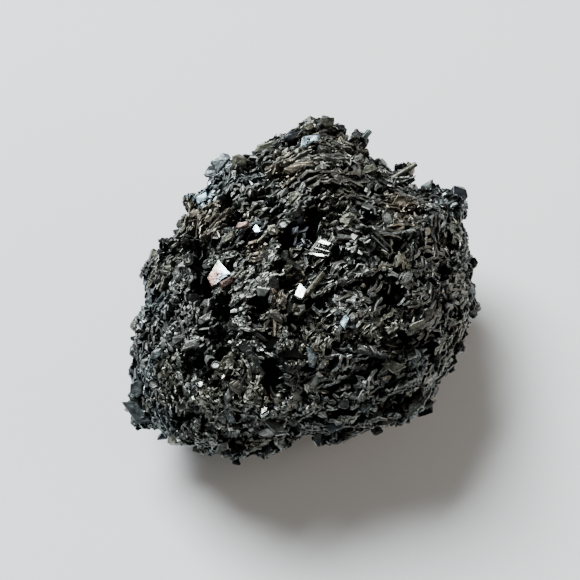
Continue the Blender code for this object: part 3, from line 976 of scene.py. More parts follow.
def hollow_depths(lump, places, outwards):
    """How far the pits and the crevices take the crust down at points in mm."""
    across, up = sight_planes(places)
    here = np.stack((across, up), axis=1)
    deepest = np.zeros(len(places))
    for pit_across, pit_up, radius, depth in PITS:
        gap = np.hypot(across - pit_across, up - pit_up)
        share = fade(gap, radius, *HOLLOW_FADE)
        deepest = np.maximum(deepest, PIT_DEEPENING * depth * share)
    for start_across, start_up, end_across, end_up, half_width, depth in CREVICES:
        start = np.array((start_across, start_up))
        run = np.array((end_across, end_up)) - start
        along = np.clip((here - start) @ run / (run @ run), 0.0, 1.0)
        gap = np.linalg.norm(here - start - along[:, None] * run, axis=1)
        deepest = np.maximum(deepest, depth * fade(gap, half_width, *HOLLOW_FADE))
    facing = -(outwards @ np.array(INWARDS))
    deepest *= np.clip(FACING_GAIN * (facing - TURNED_AWAY), 0.0, 1.0)
    for centre, radius, depth in lump.pits:
        gap = np.linalg.norm(places - centre, axis=1)
        deepest = np.maximum(deepest, depth * fade(gap, radius, *HOLLOW_FADE))
    return deepest


def swell_heights(places):
    """How far the crystals stand above the solid at points in mm, below zero where under it."""
    across, up = sight_planes(places)
    heights = np.zeros(len(places))
    for middle_across, middle_up, radius, height in SWELLS:
        gap = np.hypot(across - middle_across, up - middle_up)
        heights += height * fade(gap, radius, *SWELL_FADE)
    return heights


def surface_samples(shape, count, chance):
    """Points spread by area over a shape, with their outward normals."""
    faces = shape.faces[:]
    areas = np.array([face.calc_area() for face in faces])
    hidden = np.array([face.normal.z < CRYSTAL_UNDERSIDE for face in faces])
    areas[hidden] *= HIDDEN_SHARE
    picks = chance.choice(len(faces), size=count, p=areas / areas.sum())
    samples = []
    for pick in picks:
        face = faces[pick]
        weights = chance.dirichlet(np.ones(len(face.verts)))
        place = Vector()
        outward = Vector()
        for corner, weight in zip(face.verts, weights):
            place += corner.co * weight
            outward += corner.normal * weight
        samples.append((place, outward.normalized()))
    return samples


def samples_out_of_sight(shape, count, chance):
    """Points spread over the sides that the line of sight doesn't meet, with their normals."""
    kept = []
    for place, outward in surface_samples(shape, SPARE_SAMPLES * count, chance):
        if outward.dot(INWARDS) > AWAY_FROM_SIGHT and outward.z > STEEPEST_OVERHANG:
            kept.append((place, outward))
    return kept[:count]


def as_arrays(samples):
    """The places and the outward normals of samples, each as an array."""
    return np.array([place for place, _ in samples]), np.array([outward for _, outward in samples])


# ---------------------------------------------------------------- the lump and its bundles


def even_lump(voxel, smoothing, halvings):
    """The solid's own skin, remeshed evenly, smoothed, and halved to finer faces."""
    skin = bmesh.new()
    skin.from_mesh(frame["nodes"][NODE].data)
    bmesh.ops.remove_doubles(skin, verts=skin.verts, dist=SAME_PLACE * MM)
    lump = add_object("lump", mesh_from(skin, "lump"))
    remesh = lump.modifiers.new("even", "REMESH")
    remesh.mode = "VOXEL"
    remesh.voxel_size = voxel * MM
    smooth = lump.modifiers.new("soft", "SMOOTH")
    smooth.factor = 0.5
    smooth.iterations = smoothing
    if halvings:
        finer = lump.modifiers.new("finer", "SUBSURF")
        finer.levels = halvings
        finer.render_levels = halvings
    return applied_mesh(lump)


def lump_skin():
    """The skin that places are taken from, in mm."""
    even = even_lump(SKIN_VOXEL, SKIN_SMOOTHING, 0)
    shape = bmesh.new()
    shape.from_mesh(even)
    bpy.data.meshes.remove(even)
    bmesh.ops.scale(shape, vec=(1.0 / MM, 1.0 / MM, 1.0 / MM), verts=shape.verts)
    shape.normal_update()
    return shape


class Bundle:
    """Crystals that grew together: they share a direction, a height and a film."""

    def __init__(self, place, outward, chance, step):
        angle, stray = growth_at(*sight_plane(place))
        angle += chance.normal(0.0, BUNDLE_TURN) * stray
        along = ACROSS * math.cos(angle) + UPWARDS * math.sin(angle)
        along -= outward * (BUNDLE_LAID_DOWN * along.dot(outward))
        tip = chance.normal(0.0, loosened(*BUNDLE_TIP, stray))
        along = (along + outward * tip).normalized()
        roll = Matrix.Rotation(chance.normal(0.0, loosened(*BUNDLE_ROLL, stray)), 3, along)
        face = roll @ along.cross(outward).normalized()
        self.place = place
        self.along = along
        self.face = face.normalized()
        self.side = self.face.cross(self.along)
        self.stray = stray
        self.height = chance.uniform(-0.5, 0.5) * step
        self.lean = chance.normal(0.0, BUNDLE_LEAN)
        self.shine = chance.uniform(*BUNDLE_SHINES)
        self.size = chance.uniform(*BUNDLE_SIZES)


def make_bundles(shape, chance, step):
    """Bundles spread over the lump, no two closer than the bundle spacing."""
    area = sum(face.calc_area() for face in shape.faces)
    wanted = int(BUNDLE_TRIES * area / BUNDLE_SPACING ** 2)
    kept = []
    for place, outward in surface_samples(shape, wanted, chance):
        near = any((place - bundle.place).length < BUNDLE_SPACING for bundle in kept)
        if not near:
            kept.append(Bundle(place, outward, chance, step))
    return kept


class Lump:
    """The lump in mm: its outer skin and the bundles of plates that it is made of."""

    def __init__(self, step):
        chance = np.random.default_rng(SEED)
        self.skin = lump_skin()
        self.bundles = make_bundles(self.skin, chance, step)
        self.surface = BVHTree.FromBMesh(self.skin)
        self.centres = self.gathered("place")
        self.alongs = self.gathered("along")
        self.faces = self.gathered("face")
        self.sides = self.gathered("side")
        self.heights = self.gathered("height")
        self.strays = self.gathered("stray")
        self.pits = []
        for place, _ in samples_out_of_sight(self.skin, PITS_OUT_OF_SIGHT, chance):
            radius = chance.uniform(*PIT_RADII_OUT_OF_SIGHT)
            self.pits.append((np.array(place), radius, PIT_DEPTH_OUT_OF_SIGHT * radius))

    def gathered(self, name):
        """One property of every bundle, as an array."""
        return np.array([getattr(bundle, name) for bundle in self.bundles])

    def bundles_at(self, places):
        """The bundle that each place belongs to, and how deep the crack beside it is there.

        Bundles are longer than they are wide, so distance along one counts for less.
        """
        owners = []
        cracks = []
        for group in np.array_split(places, len(places) // PLACES_AT_ONCE + 1):
            offsets = group[:, None, :] - self.centres[None, :, :]
            lengthwise = np.einsum("ijk,jk->ij", offsets, self.alongs)
            layerwise = np.einsum("ijk,jk->ij", offsets, self.faces)
            gaps = (offsets ** 2).sum(axis=2)
            gaps = gaps - EASY_LENGTHWISE * lengthwise ** 2 + HARD_LAYERWISE * layerwise ** 2
            nearest_two = np.sqrt(np.partition(gaps, 1, axis=1)[:, :2])
            rim = 0.5 * (nearest_two[:, 1] - nearest_two[:, 0])
            owners.append(gaps.argmin(axis=1))
            cracks.append(CRACK_DEPTH * np.clip(1.0 - rim / CRACK_WIDTH, 0.0, 1.0))
        return np.concatenate(owners), np.concatenate(cracks)


@lru_cache(maxsize=1)
def lump_for(step):
    """The lump, worked out once for all the steps."""
    return Lump(step)


def ground(lump, places, outwards):
    """The bundle at each place, how deep the pits are there, and how high the crystals stand."""
    owners, cracks = lump.bundles_at(places)
    hollows = hollow_depths(lump, places, outwards)
    blocks = np.array([noise.noise(Vector(place) / BLOCK_SIZE) for place in places])
    heights = np.minimum(lump.heights[owners] + BLOCK_HEIGHT * blocks, HIGHEST_BLOCK)
    return owners, hollows, heights + swell_heights(places) - cracks - hollows


def film_colour(colours, film, shine, roughness=BARE_ROUGHNESS):
    """Colour of a face with a film, brightened or dulled, with its roughness as a fourth value."""
    return (*(min(1.0, channel * shine) for channel in getattr(colours, film)), roughness)


def film_colours(places, outwards, owners, lump, colours):
    """Colour of the film at each place: that of a patch, or else of the bundle."""
    chance = np.random.default_rng(SEED + 2)
    picks = chance.choice(len(FILMS), size=len(lump.bundles), p=FILM_SHARES)
    palette = np.array([film_colour(colours, name, 1.0) for name in FILMS])
    bare = palette[0]
    tints = bare + (palette[picks[owners]] - bare) * BUNDLE_TINT
    across, up = sight_planes(places)
    seen = outwards @ np.array(INWARDS) < LAST_IN_SIGHT
    for patch_across, patch_up, radius, film in FILM_PATCHES:
        inside = seen & (np.hypot(across - patch_across, up - patch_up) < radius)
        tint = np.array(film_colour(colours, film, 1.0))
        tints[inside] = bare + (tint - bare) * PATCH_TINT
    return tints


def painted_pit_shade(hollow):
    """Share of its brightness that a face keeps at the bottom of a pit, as painted shade."""
    return 1.0 - PIT_SHADE_SHARE * min(1.0, hollow / PIT_SHADE_DEPTH)


def make_piece(name, mesh, material):
    """Put a finished mesh in the scene as a piece that stands for the solid."""
    piece = add_object(name, mesh)
    mesh.materials.clear()
    mesh.materials.append(material)
    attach(piece, "root")
    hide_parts(NODE)


# ---------------------------------------------------------------- crust


def strand_places(places, owners, lump):
    """Places in their bundle's own directions, counted in plates."""
    offsets = places - lump.centres[owners]
    in_line = np.clip(1.0 - lump.strays[owners], SHORTEST_PLATE, 1.0)
    lengthwise = (offsets * lump.alongs[owners]).sum(axis=1) / (PLATE_LENGTH * in_line)
    sidewise = (offsets * lump.sides[owners]).sum(axis=1) / PLATE_WIDTH
    layerwise = (offsets * lump.faces[owners]).sum(axis=1) / PLATE_PITCH
    strands = np.stack((lengthwise, sidewise, layerwise), axis=1)
    return strands + BUNDLE_SHIFT * owners[:, None]


def set_attribute(mesh, name, kind, field, values):
    """Store an array as an attribute of the mesh's points."""
    attribute = mesh.attributes.new(name, kind, "POINT")
    attribute.data.foreach_set(field, np.ascontiguousarray(values, dtype=np.float32).ravel())


def read_vectors(items, field):
    """Read one vector from each item as an array."""
    values = np.empty(len(items) * 3, dtype=np.float32)
    items.foreach_get(field, values)
    return values.reshape(-1, 3).astype(float)


def geometry_tree(name):
    """A group of geometry nodes that changes a shape, with the node that the shape enters by."""
    tree = bpy.data.node_groups.new(name, "GeometryNodeTree")
    for way in ("INPUT", "OUTPUT"):
        tree.interface.new_socket("Geometry", in_out=way, socket_type="NodeSocketGeometry")
    return tree, add_node(tree, "NodeGroupInput")


def crust_nodes():
    """Geometry nodes that raise and sink the crust's points."""
    tree, start = geometry_tree("raise_plates")
    held = {
        name: add_node(tree, "GeometryNodeInputNamedAttribute", {"Name": name}, data_type=kind)
        for name, kind in (("strand", "FLOAT_VECTOR"), ("lift", "FLOAT_VECTOR"), ("sunk", "FLOAT"))
    }
    height, _, _ = plate_pattern(tree, held["strand"].outputs["Attribute"])
    height = add_node(tree, "ShaderNodeMath", (height, held["sunk"]), operation="SUBTRACT")
    height = add_node(tree, "ShaderNodeMath", (height, MM), operation="MULTIPLY")
    offset = add_node(
        tree,
        "ShaderNodeVectorMath",
        {"Vector": held["lift"], "Scale": height},
        operation="SCALE",
    )
    moved = add_node(tree, "GeometryNodeSetPosition", {"Geometry": start, "Offset": offset})
    add_node(tree, "NodeGroupOutput", {"Geometry": moved})
    return tree


def crust_mesh(lump, colours):
    """The whole crust, raised and sunk."""
    mesh = even_lump(CRUST_VOXEL, CRUST_SMOOTHING, 1)
    places = read_vectors(mesh.vertices, "co") / MM
    outwards = read_vectors(mesh.vertex_normals, "vector")
    owners, _, heights = ground(lump, places, outwards)
    free = np.clip((places[:, 2] - FLAT_FOOT) / FOOT_HEIGHT, 0.0, 1.0)
    set_attribute(mesh, "strand", "FLOAT_VECTOR", "vector", strand_places(places, owners, lump))
    set_attribute(mesh, "lift", "FLOAT_VECTOR", "vector", outwards * free[:, None])
    set_attribute(mesh, "sunk", "FLOAT", "value", CRUST_INSET - heights)
    tints = film_colours(places, outwards, owners, lump, colours)
    set_attribute(mesh, "film", "FLOAT_COLOR", "color", tints)
    holder = add_object("crust", mesh)
    raise_plates = holder.modifiers.new("raise", "NODES")
    raise_plates.node_group = crust_nodes()
    return applied_mesh(holder)


def make_crust(lump, colours):
    """The crust, in one piece for each side of the lump."""
    material = crust_material()
    whole = bmesh.new()
    whole.from_mesh(crust_mesh(lump, colours))
    for corner in whole.verts:
        corner.co.z = 0.0 if corner.co.z < FLAT_FOOT * MM else corner.co.z
    for name in SECTORS:
        shape = whole.copy()
        others = []
        for face in shape.faces:
            if sector_of(face.calc_center_median() / MM) != name:
                others.append(face)
        bmesh.ops.delete(shape, geom=others, context="FACES")
        make_piece(f"{name}_crust", mesh_from(shape, f"{name}_crust"), material)
    whole.free()


# ---------------------------------------------------------------- shapes of small crystals


def hexagonal_plate():
    """A six-sided plate, a unit long, wide and thick, with corners at its two ends."""
    shape = bmesh.new()
    bmesh.ops.create_cone(
        shape,
        cap_ends=True,
        segments=6,
        radius1=0.5,
        radius2=0.5,
        depth=1.0,
        matrix=Matrix.Rotation(math.radians(30.0), 4, "Z"),
    )
    bmesh.ops.scale(shape, vec=(1.0, 1.0 / math.cos(math.radians(30.0)), 1.0), verts=shape.verts)
    return shape


def ready_shape(shape, size, offset=0.0):
    """Scale a unit shape to mm and chamfer its level edges."""
    bmesh.ops.scale(shape, vec=size, verts=shape.verts)
    if offset > 0.0:
        most = LEVEL_EDGE * size[2]
        level = []
        for edge in shape.edges:
            if abs(edge.verts[0].co.z - edge.verts[1].co.z) < most:
                level.append(edge)
        chamfer(shape, level, offset)
    bmesh.ops.recalc_face_normals(shape, faces=shape.faces)
    return shape


def clean_plate(size):
    """A whole hexagonal plate with chamfered rims."""
    return ready_shape(hexagonal_plate(), size, CLEAN_CHAMFER)


def broken_plate(size):
    """A plate snapped across at a slant."""
    shape = hexagonal_plate()
    cut_off(shape, BREAK_PLACE, BREAK_SIDE.normalized())
    return ready_shape(shape, size, CHIPPED_CHAMFER)


def stepped_plate(size):
    """A plate with a growth step on its upper face."""
    shape = ready_shape(hexagonal_plate(), size)
    top = top_of(shape)
    bmesh.ops.inset_individual(shape, faces=[top], thickness=STEP_INSET, depth=0.0)
    raised = bmesh.ops.extrude_face_region(shape, geom=[top])
    lifted = [item for item in raised["geom"] if isinstance(item, bmesh.types.BMVert)]
    bmesh.ops.translate(shape, vec=STEP_SHIFT, verts=lifted)
    bmesh.ops.delete(shape, geom=[top], context="FACES_ONLY")
    bmesh.ops.recalc_face_normals(shape, faces=shape.faces)
    return shape


def hopper_plate(size):
    """A plate whose rim outgrew its middle."""
    shape = ready_shape(hexagonal_plate(), size)
    top = top_of(shape)
    bmesh.ops.inset_individual(shape, faces=[top], thickness=HOPPER_RIM, depth=-HOPPER_DEPTH)
    bmesh.ops.recalc_face_normals(shape, faces=shape.faces)
    return shape


def chip(size):
    """A wedge-shaped chip with five sides."""
    shape = bmesh.new()
    bmesh.ops.create_cone(
        shape,
        cap_ends=True,
        segments=5,
        radius1=0.5,
        radius2=CHIP_TOP,
        depth=1.0,
    )
    bmesh.ops.transform(shape, matrix=Matrix.Shear("XY", 4, CHIP_LEAN), verts=shape.verts)
    return ready_shape(shape, size, CHIPPED_CHAMFER)


def splinter(size):
    """A long four-sided blade that narrows to one end."""
    shape = bmesh.new()
    bmesh.ops.create_cube(shape, size=1.0)
    narrow = [corner for corner in shape.verts if corner.co.x > 0.0]
    bmesh.ops.scale(shape, vec=SPLINTER_END, verts=narrow)
    bmesh.ops.translate(shape, vec=SPLINTER_SHIFT, verts=narrow)
    return ready_shape(shape, size, SPLINTER_CHAMFER)


# Each kind of small crystal: its maker, and its length, width and thickness for the usual.
KINDS = (
    (clean_plate, (1.0, 1.0, 1.0)),
    (broken_plate, (1.1, 1.0, 1.0)),
    (stepped_plate, (0.9, 1.0, 1.0)),
    (hopper_plate, (0.8, 1.0, 1.3)),
    (chip, (0.75, 0.8, 1.4)),
    (splinter, (1.5, 0.6, 0.9)),
)
KIND_SHARES = (0.24, 0.26, 0.12, 0.06, 0.16, 0.16)


def collect_kinds(name, shapes):
    """One object for each shape in mm, in a collection of their own."""
    kinds = bpy.data.collections.new(f"{name}_kinds")
    bpy.context.scene.collection.children.link(kinds)
    for number, shape in enumerate(shapes):
        bmesh.ops.scale(shape, vec=(MM, MM, MM), verts=shape.verts)
        kind = f"{name}_{number}"
        kinds.objects.link(bpy.data.objects.new(kind, mesh_from(shape, kind)))
    return kinds


def crystal_kinds(settings):
    """The small crystals' shapes in mm."""
    usual = (settings.crystal_length, settings.crystal_width, settings.crystal_thickness)
    for maker, shares in KINDS:
        yield maker([part * share / MM for part, share in zip(usual, shares)])


# ---------------------------------------------------------------- ridges


def ridge_shape(chance, winding):
    """A plate on edge, a unit long, thick and high, with a wavy rim.

    The rim has a chamfer on each side and is a little hollow between them.
    """
    shape = bmesh.new()
    size = Vector((1.0, RIDGE_THICKNESS, RIDGE_HEIGHT))
    bmesh.ops.create_cube(shape, size=1.0)
    bmesh.ops.scale(shape, vec=size, verts=shape.verts)
    rims = []
    for edge in shape.edges:
        one, other = edge.verts
        if min(one.co.z, other.co.z) > 0.0 and abs(one.co.x - other.co.x) > 0.5:
            rims.append(edge)
    chamfer(shape, rims, chance.uniform(*RIDGE_CHAMFERS) * RIDGE_THICKNESS)
    bmesh.ops.scale(shape, vec=[1.0 / part for part in size], verts=shape.verts)
    top = top_of(shape)
    bmesh.ops.bisect_plane(
        shape,
        geom=top.verts[:] + top.edges[:] + [top],
        plane_co=(0.0, 0.0, 0.0),
        plane_no=(0.0, 1.0, 0.0),
    )
    for step in range(1, RIDGE_STEPS):
        bmesh.ops.bisect_plane(
            shape,
            geom=everything(shape),
            plane_co=(step / RIDGE_STEPS - 0.5, 0.0, 0.0),
            plane_no=(1.0, 0.0, 0.0),
        )
    sway = chance.normal(0.0, RIDGE_SWAY, RIDGE_STEPS + 1)
    rise = chance.normal(0.0, RIDGE_RISE, RIDGE_STEPS + 1)
    swell = chance.uniform(*RIDGE_SWELLS, RIDGE_STEPS + 1)
    swell[[0, -1]] *= END_THINNING
    rise[[0, -1]] -= END_DROP
    if winding:
        sway = WINDING * (np.cumsum(sway) - np.cumsum(sway).mean())
    # The rim layer paints light and shade into the colour: a painted highlight on the rim's edges,
    # and painted shade in the hollow, down the flank and at the foot.
    rim = shape.verts.layers.float.new("rim")
    for corner in shape.verts:
        step = round((corner.co.x + 0.5) * RIDGE_STEPS)
        if corner.co.z < 0.0:
            corner[rim] = ROOT_PAINTED_SHADE
        elif abs(corner.co.y) < NEAR:
            corner[rim] = HOLLOW_PAINTED_SHADE
            corner.co.z += rise[step] - RIM_HOLLOW
        else:
            corner[rim] = RIM_PAINTED_HIGHLIGHT if corner.co.z > 0.5 - NEAR else FLANK_PAINTED_SHADE
            corner.co.z += rise[step]
        corner.co.y = corner.co.y * swell[step] + sway[step]
    return shape


def ridge_kinds():
    """The ridges' shapes, the winding ones first."""
    chance = np.random.default_rng(SEED + 3)
    for number in range(2 * RIDGE_KINDS):
        yield ridge_shape(chance, number < RIDGE_KINDS)


def ridge_rows(lump, chance):
    """Places in rows along every bundle, with the length of the ridge at each."""
    places = []
    outwards = []
    lengths = []
    makers = []
    short, long = RIDGE_LENGTHS
    reach = ROW_REACH * BUNDLE_SPACING
    rows = int(reach / RIDGE_PITCH)
    for number, bundle in enumerate(lump.bundles):
        in_line = max(LEAST_LENGTHENING, 1.0 - SHORTENED_BY_STRAY * bundle.stray)
        for row in range(-rows, rows + 1):
            run = -reach - chance.uniform(0.0, short)
            while run < reach:
                length = short + (long - short) * chance.uniform() * in_line
                spot = bundle.along * (run + 0.5 * length) + bundle.face * (row * RIDGE_PITCH)
                place, outward, _, _ = lump.surface.find_nearest(bundle.place + spot)
                run += RIDGE_OVERLAP * length
                if outward.z < RIDGE_UNDERSIDE and chance.uniform() > UNDERSIDE_SHARE:
                    continue
                if abs(bundle.along.dot(outward)) > STEEPEST_ROW:
                    continue
                places.append(place)
                outwards.append(outward)
                lengths.append(length)
                makers.append(number)
    places = np.array(places)
    own = lump.bundles_at(places)[0] == np.array(makers)
    return places[own], np.array(outwards)[own], np.array(lengths)[own]


def ends_stand_out(surface, middle, half_length):
    """Whether either end of a ridge would stand out where the skin falls away under it."""
    for end in (middle - half_length, middle + half_length):
        below, outward, _, _ = surface.find_nearest(end)
        if (end - below).dot(outward) > END_RISE:
            return True
    return False


def scatter_ridges(lump, colours):
    """All the ridges, sorted by the side of the lump they are on."""
    chance = np.random.default_rng(SEED + 4)
    places, outwards, lengths = ridge_rows(lump, chance)
    owners, hollows, heights = ground(lump, places, outwards)
    tints = film_colours(places, outwards, owners, lump, colours)
    sectors = {name: [] for name in SECTORS}
    for number, length in enumerate(lengths):
        bundle = lump.bundles[owners[number]]
        stray = bundle.stray
        place = Vector(places[number])
        outward = Vector(outwards[number])
        wander = Vector(chance.normal(0.0, loosened(*RIDGE_WANDER, stray), 3))
        wander -= outward * (WANDER_LAID_DOWN * wander.dot(outward))
        along = (bundle.along - outward * bundle.along.dot(outward)).normalized()
        along = (along + wander).normalized()
        lean = bundle.lean + chance.normal(0.0, loosened(*RIDGE_LEAN, stray))
        upright = (outward + outward.cross(along) * lean).normalized()
        upright = (upright - along * upright.dot(along)).normalized()
        stand = heights[number] + chance.normal(0.0, RIDGE_STAND) - RIDGE_INSET
        if ends_stand_out(lump.surface, place, along * (0.5 * length)):
            length *= CUT_SHORT
        middle = place + outward * (stand - 0.5 * RIDGE_HEIGHT)
        if middle.z - 0.5 * length * abs(along.z) - 0.5 * RIDGE_HEIGHT * upright.z < 0.0:
            continue
        # Ridges down in a pit get painted shade.
        shine = bundle.shine * chance.uniform(*RIDGE_SHINES) * painted_pit_shade(hollows[number])
        winding = chance.uniform() > loosened(*STRAIGHT_CHANCE, stray)
        sectors[sector_of(place)].append({
            "place": middle,
            "long_axis": along,
            "face_axis": upright,
            "growth": Vector((
                length,
                RIDGE_THICKNESS * chance.uniform(*RIDGE_THICKENING),
                RIDGE_HEIGHT,
            )),
            "kind": int(chance.integers(RIDGE_KINDS)) + (0 if winding else RIDGE_KINDS),
            "film": (*(tints[number][:3] * shine), chance.uniform(*RIDGE_ROUGHNESS)),
        })
    return sectors


# ---------------------------------------------------------------- small crystals


def half_extent(direction, axes, sizes):
    """How far a crystal reaches from its middle in a direction."""
    return 0.5 * sum(abs(direction.dot(axis)) * size for axis, size in zip(axes, sizes))


def crystal_from(place, outward, bundle, height, chance, usual):
    """Where one crystal lies, how it is turned and its size, or nothing if it can't be there."""
    kind = int(chance.choice(len(KINDS), p=KIND_SHARES))
    grow = bundle.size * chance.lognormal(0.0, SIZE_SPREAD)
    scale = Vector((
        grow * chance.uniform(*LENGTHENING),
        grow * chance.uniform(*WIDENING),
        chance.uniform(*THICKENING),
    ))
    flat = chance.uniform() < FLAT_SHARE
    wobble = FLAT_WOBBLE if flat else loosened(*EDGE_WOBBLE, bundle.stray)
    turn = Vector(chance.normal(0.0, wobble, 3))
    spin = Matrix.Rotation(turn.length, 3, turn)
    along = bundle.along - outward * bundle.along.dot(outward)
    along = (spin @ along).normalized()
    face = (spin @ (outward if flat else outward.cross(along))).normalized()
    along = (along - face * along.dot(face)).normalized()
    axes = (along, face.cross(along).normalized(), face)
    sizes = [usual[axis] * KINDS[kind][1][axis] * scale[axis] for axis in range(3)]
    stand = height + chance.normal(CRYSTAL_STAND, CRYSTAL_STAND) - RIDGE_INSET
    middle = place + outward * (stand - half_extent(outward, axes, sizes))
    if middle.z - half_extent(Vector((0.0, 0.0, 1.0)), axes, sizes) < LOWEST_CRYSTAL:
        return None
    return {
        "place": middle,
        "long_axis": along,
        "face_axis": face,
        "growth": scale,
        "kind": kind,
    }


def scatter_crystals(lump, settings, colours):
    """All the small crystals, sorted by the side of the lump they are on."""
    chance = np.random.default_rng(SEED + 1)
    usual = [
        settings.crystal_length / MM,
        settings.crystal_width / MM,
        settings.crystal_thickness / MM,
    ]
    samples = surface_samples(lump.skin, settings.crystal_count, chance)
    places, outwards = as_arrays(samples)
    owners, hollows, heights = ground(lump, places, outwards)
    tints = film_colours(places, outwards, owners, lump, colours)
    sectors = {name: [] for name in SECTORS}
    for number, (place, outward) in enumerate(samples):
        bundle = lump.bundles[owners[number]]
        crystal = crystal_from(place, outward, bundle, heights[number], chance, usual)
        if crystal is None:
            continue
        # Crystals down in a pit get painted shade.
        shine = bundle.shine * chance.uniform(*CRYSTAL_SHINES) * painted_pit_shade(hollows[number])
        polished = chance.uniform() < POLISHED_SHARE
        roughness = POLISHED_ROUGHNESS if polished else chance.uniform(*CRYSTAL_ROUGHNESS)
        crystal["film"] = (*(tints[number][:3] * shine), roughness)
        sectors[sector_of(crystal["place"])].append(crystal)
    return sectors


# ---------------------------------------------------------------- growing ridges and crystals


def points_mesh(name, crystals):
    """One vertex for each crystal, holding how the crystal lies."""
    points = bmesh.new()
    for crystal in crystals:
        points.verts.new(crystal["place"] * MM)
    mesh = mesh_from(points, name)
    for attribute_name, kind in POINT_ATTRIBUTES.items():
        attribute = mesh.attributes.new(attribute_name, kind, "POINT")
        field = {"FLOAT_VECTOR": "vector", "FLOAT_COLOR": "color"}.get(kind, "value")
        for item, crystal in zip(attribute.data, crystals):
            setattr(item, field, crystal[attribute_name])
    return mesh


def growing_nodes(kinds):
    """Geometry nodes that set a crystal on each point and make the crystals real."""
    tree, start = geometry_tree("grow_crystals")
    held = {
        name: add_node(tree, "GeometryNodeInputNamedAttribute", {"Name": name}, data_type=kind)
        for name, kind in POINT_ATTRIBUTES.items() if name != "film"
    }
    shapes = add_node(
        tree,
        "GeometryNodeCollectionInfo",
        {"Collection": kinds, "Separate Children": True, "Reset Children": True},
    )
    turned = add_node(
        tree,
        "FunctionNodeAxesToRotation",
        {"Primary Axis": held["face_axis"], "Secondary Axis": held["long_axis"]},
        primary_axis="Z",
        secondary_axis="X",
    )
    grown = add_node(
        tree,
        "GeometryNodeInstanceOnPoints",
        {
            "Points": start,
            "Instance": shapes,
            "Pick Instance": True,
            "Instance Index": held["kind"],
            "Rotation": turned,
            "Scale": held["growth"],
        },
    )
    real = add_node(tree, "GeometryNodeRealizeInstances", {"Geometry": grown})
    add_node(tree, "NodeGroupOutput", {"Geometry": real})
    return tree


def roughen(mesh):
    """Bend and nick the crystals a little, so that no two are alike."""
    noise.seed_set(SEED)
    for corner in mesh.vertices:
        place = corner.co / MM
        bend = Vector()
        for width, depth in BENDS:
            bend += noise.noise_vector(place / width) * depth
        corner.co += bend * MM
        corner.co.z = max(corner.co.z, 0.0)


def grow_on_all_sides(kinds, sectors, label, material):
    """Make one piece for each side of the lump out of its crystals, and remove the kinds."""
    tree = growing_nodes(kinds)
    for side, crystals in sectors.items():
        if not crystals:
            raise RuntimeError(f"no {label} on the {side}")
        name = f"{side}_{label}"
        holder = add_object(f"{name}_points", points_mesh(f"{name}_points", crystals))
        grow = holder.modifiers.new("grow", "NODES")
        grow.node_group = tree
        mesh = applied_mesh(holder)
        mesh.name = name
        roughen(mesh)
        make_piece(name, mesh, material)
    for kind in list(kinds.objects):
        bpy.data.objects.remove(kind)
    bpy.data.collections.remove(kinds)
    bpy.data.node_groups.remove(tree)


# ---------------------------------------------------------------- known crystals


def slant(shape, amount):
    """Lean a shape along its length as it goes across."""
    lean = Matrix.Identity(4)
    lean[0][1] = amount
    bmesh.ops.transform(shape, matrix=lean, verts=shape.verts)


def whole_plate(_):
    """A six-sided plate, which chance leaves as it is."""
    return hexagonal_plate()


def slanting_plate(chance):
    """A four-sided plate with slanting ends."""
    shape = bmesh.new()
    bmesh.ops.create_cube(shape, size=1.0)
    slant(shape, chance.uniform(*PLATE_SLANT))
    return shape


def rod(chance):
    """A six-sided rod along X that narrows a little, broken at a slant."""
    shape = bmesh.new()
    bmesh.ops.create_cone(
        shape,
        cap_ends=True,
        segments=6,
        radius1=0.5,
        radius2=ROD_END,
        depth=1.0,
        matrix=Matrix.Rotation(math.radians(90.0), 4, "Y"),
    )
    slant(shape, ROD_SLANT * chance.normal())
    return shape


def hollow_plate(_):
    """A six-sided crystal whose rim outgrew its middle."""
    shape = hexagonal_plate()
    bmesh.ops.inset_individual(
        shape,
        faces=[top_of(shape)],
        thickness=RING_RIM,
        depth=-RING_DEPTH,
    )
    return shape


# Each shape of large crystal: the maker of a unit one, the least and most that each broken
# corner is cut off from its middle, and whether it has growth steps.
KNOWN_SHAPES = {
    "plate": (whole_plate, ((0.22, 0.36), (0.28, 0.42)), True),
    "shard": (slanting_plate, ((0.3, 0.44), (0.36, 0.46)), True),
    "block": (whole_plate, ((0.25, 0.4),), True),
    "ring": (hollow_plate, ((0.4, 0.48),), False),
    "rod": (rod, (), False),
}


def break_corner(shape, chance, reach):
    """Break a corner off a unit shape along a random plane that stands on its edge."""
    angle = chance.uniform(0.0, 2.0 * math.pi)
    side = Vector((math.cos(angle), math.sin(angle), chance.normal(0.0, BREAK_TILT)))
    side.normalize()
    cut_off(shape, side * reach, side)


def add_growth_steps(shape, chance):
    """Raise smaller and smaller steps on the upper face of a unit shape."""
    top = top_of(shape)
    for _ in range(int(chance.integers(1, MOST_STEPS + 1))):
        rim = chance.uniform(*STEP_RIMS)
        rise = chance.uniform(*STEP_RISES)
        bmesh.ops.inset_individual(shape, faces=[top], thickness=rim, depth=rise)
        drift = (*chance.normal(0.0, STEP_DRIFT, 2), 0.0)
        bmesh.ops.translate(shape, vec=drift, verts=top.verts)


def known_shape(name, chance):
    """A unit shape of a known crystal, broken and stepped by chance."""
    maker, breaks, stepped = KNOWN_SHAPES[name]
    shape = maker(chance)
    for reaches in breaks:
        break_corner(shape, chance, chance.uniform(*reaches))
    if stepped:
        add_growth_steps(shape, chance)
    return shape


def lit_face(lit):
    """Outward direction of a face, from square to the sight to one that mirrors the window."""
    to_eye = -INWARDS
    mirror = (to_eye + WINDOW.normalized()).normalized()
    return to_eye.slerp(mirror, lit) if lit > 0.0 else to_eye


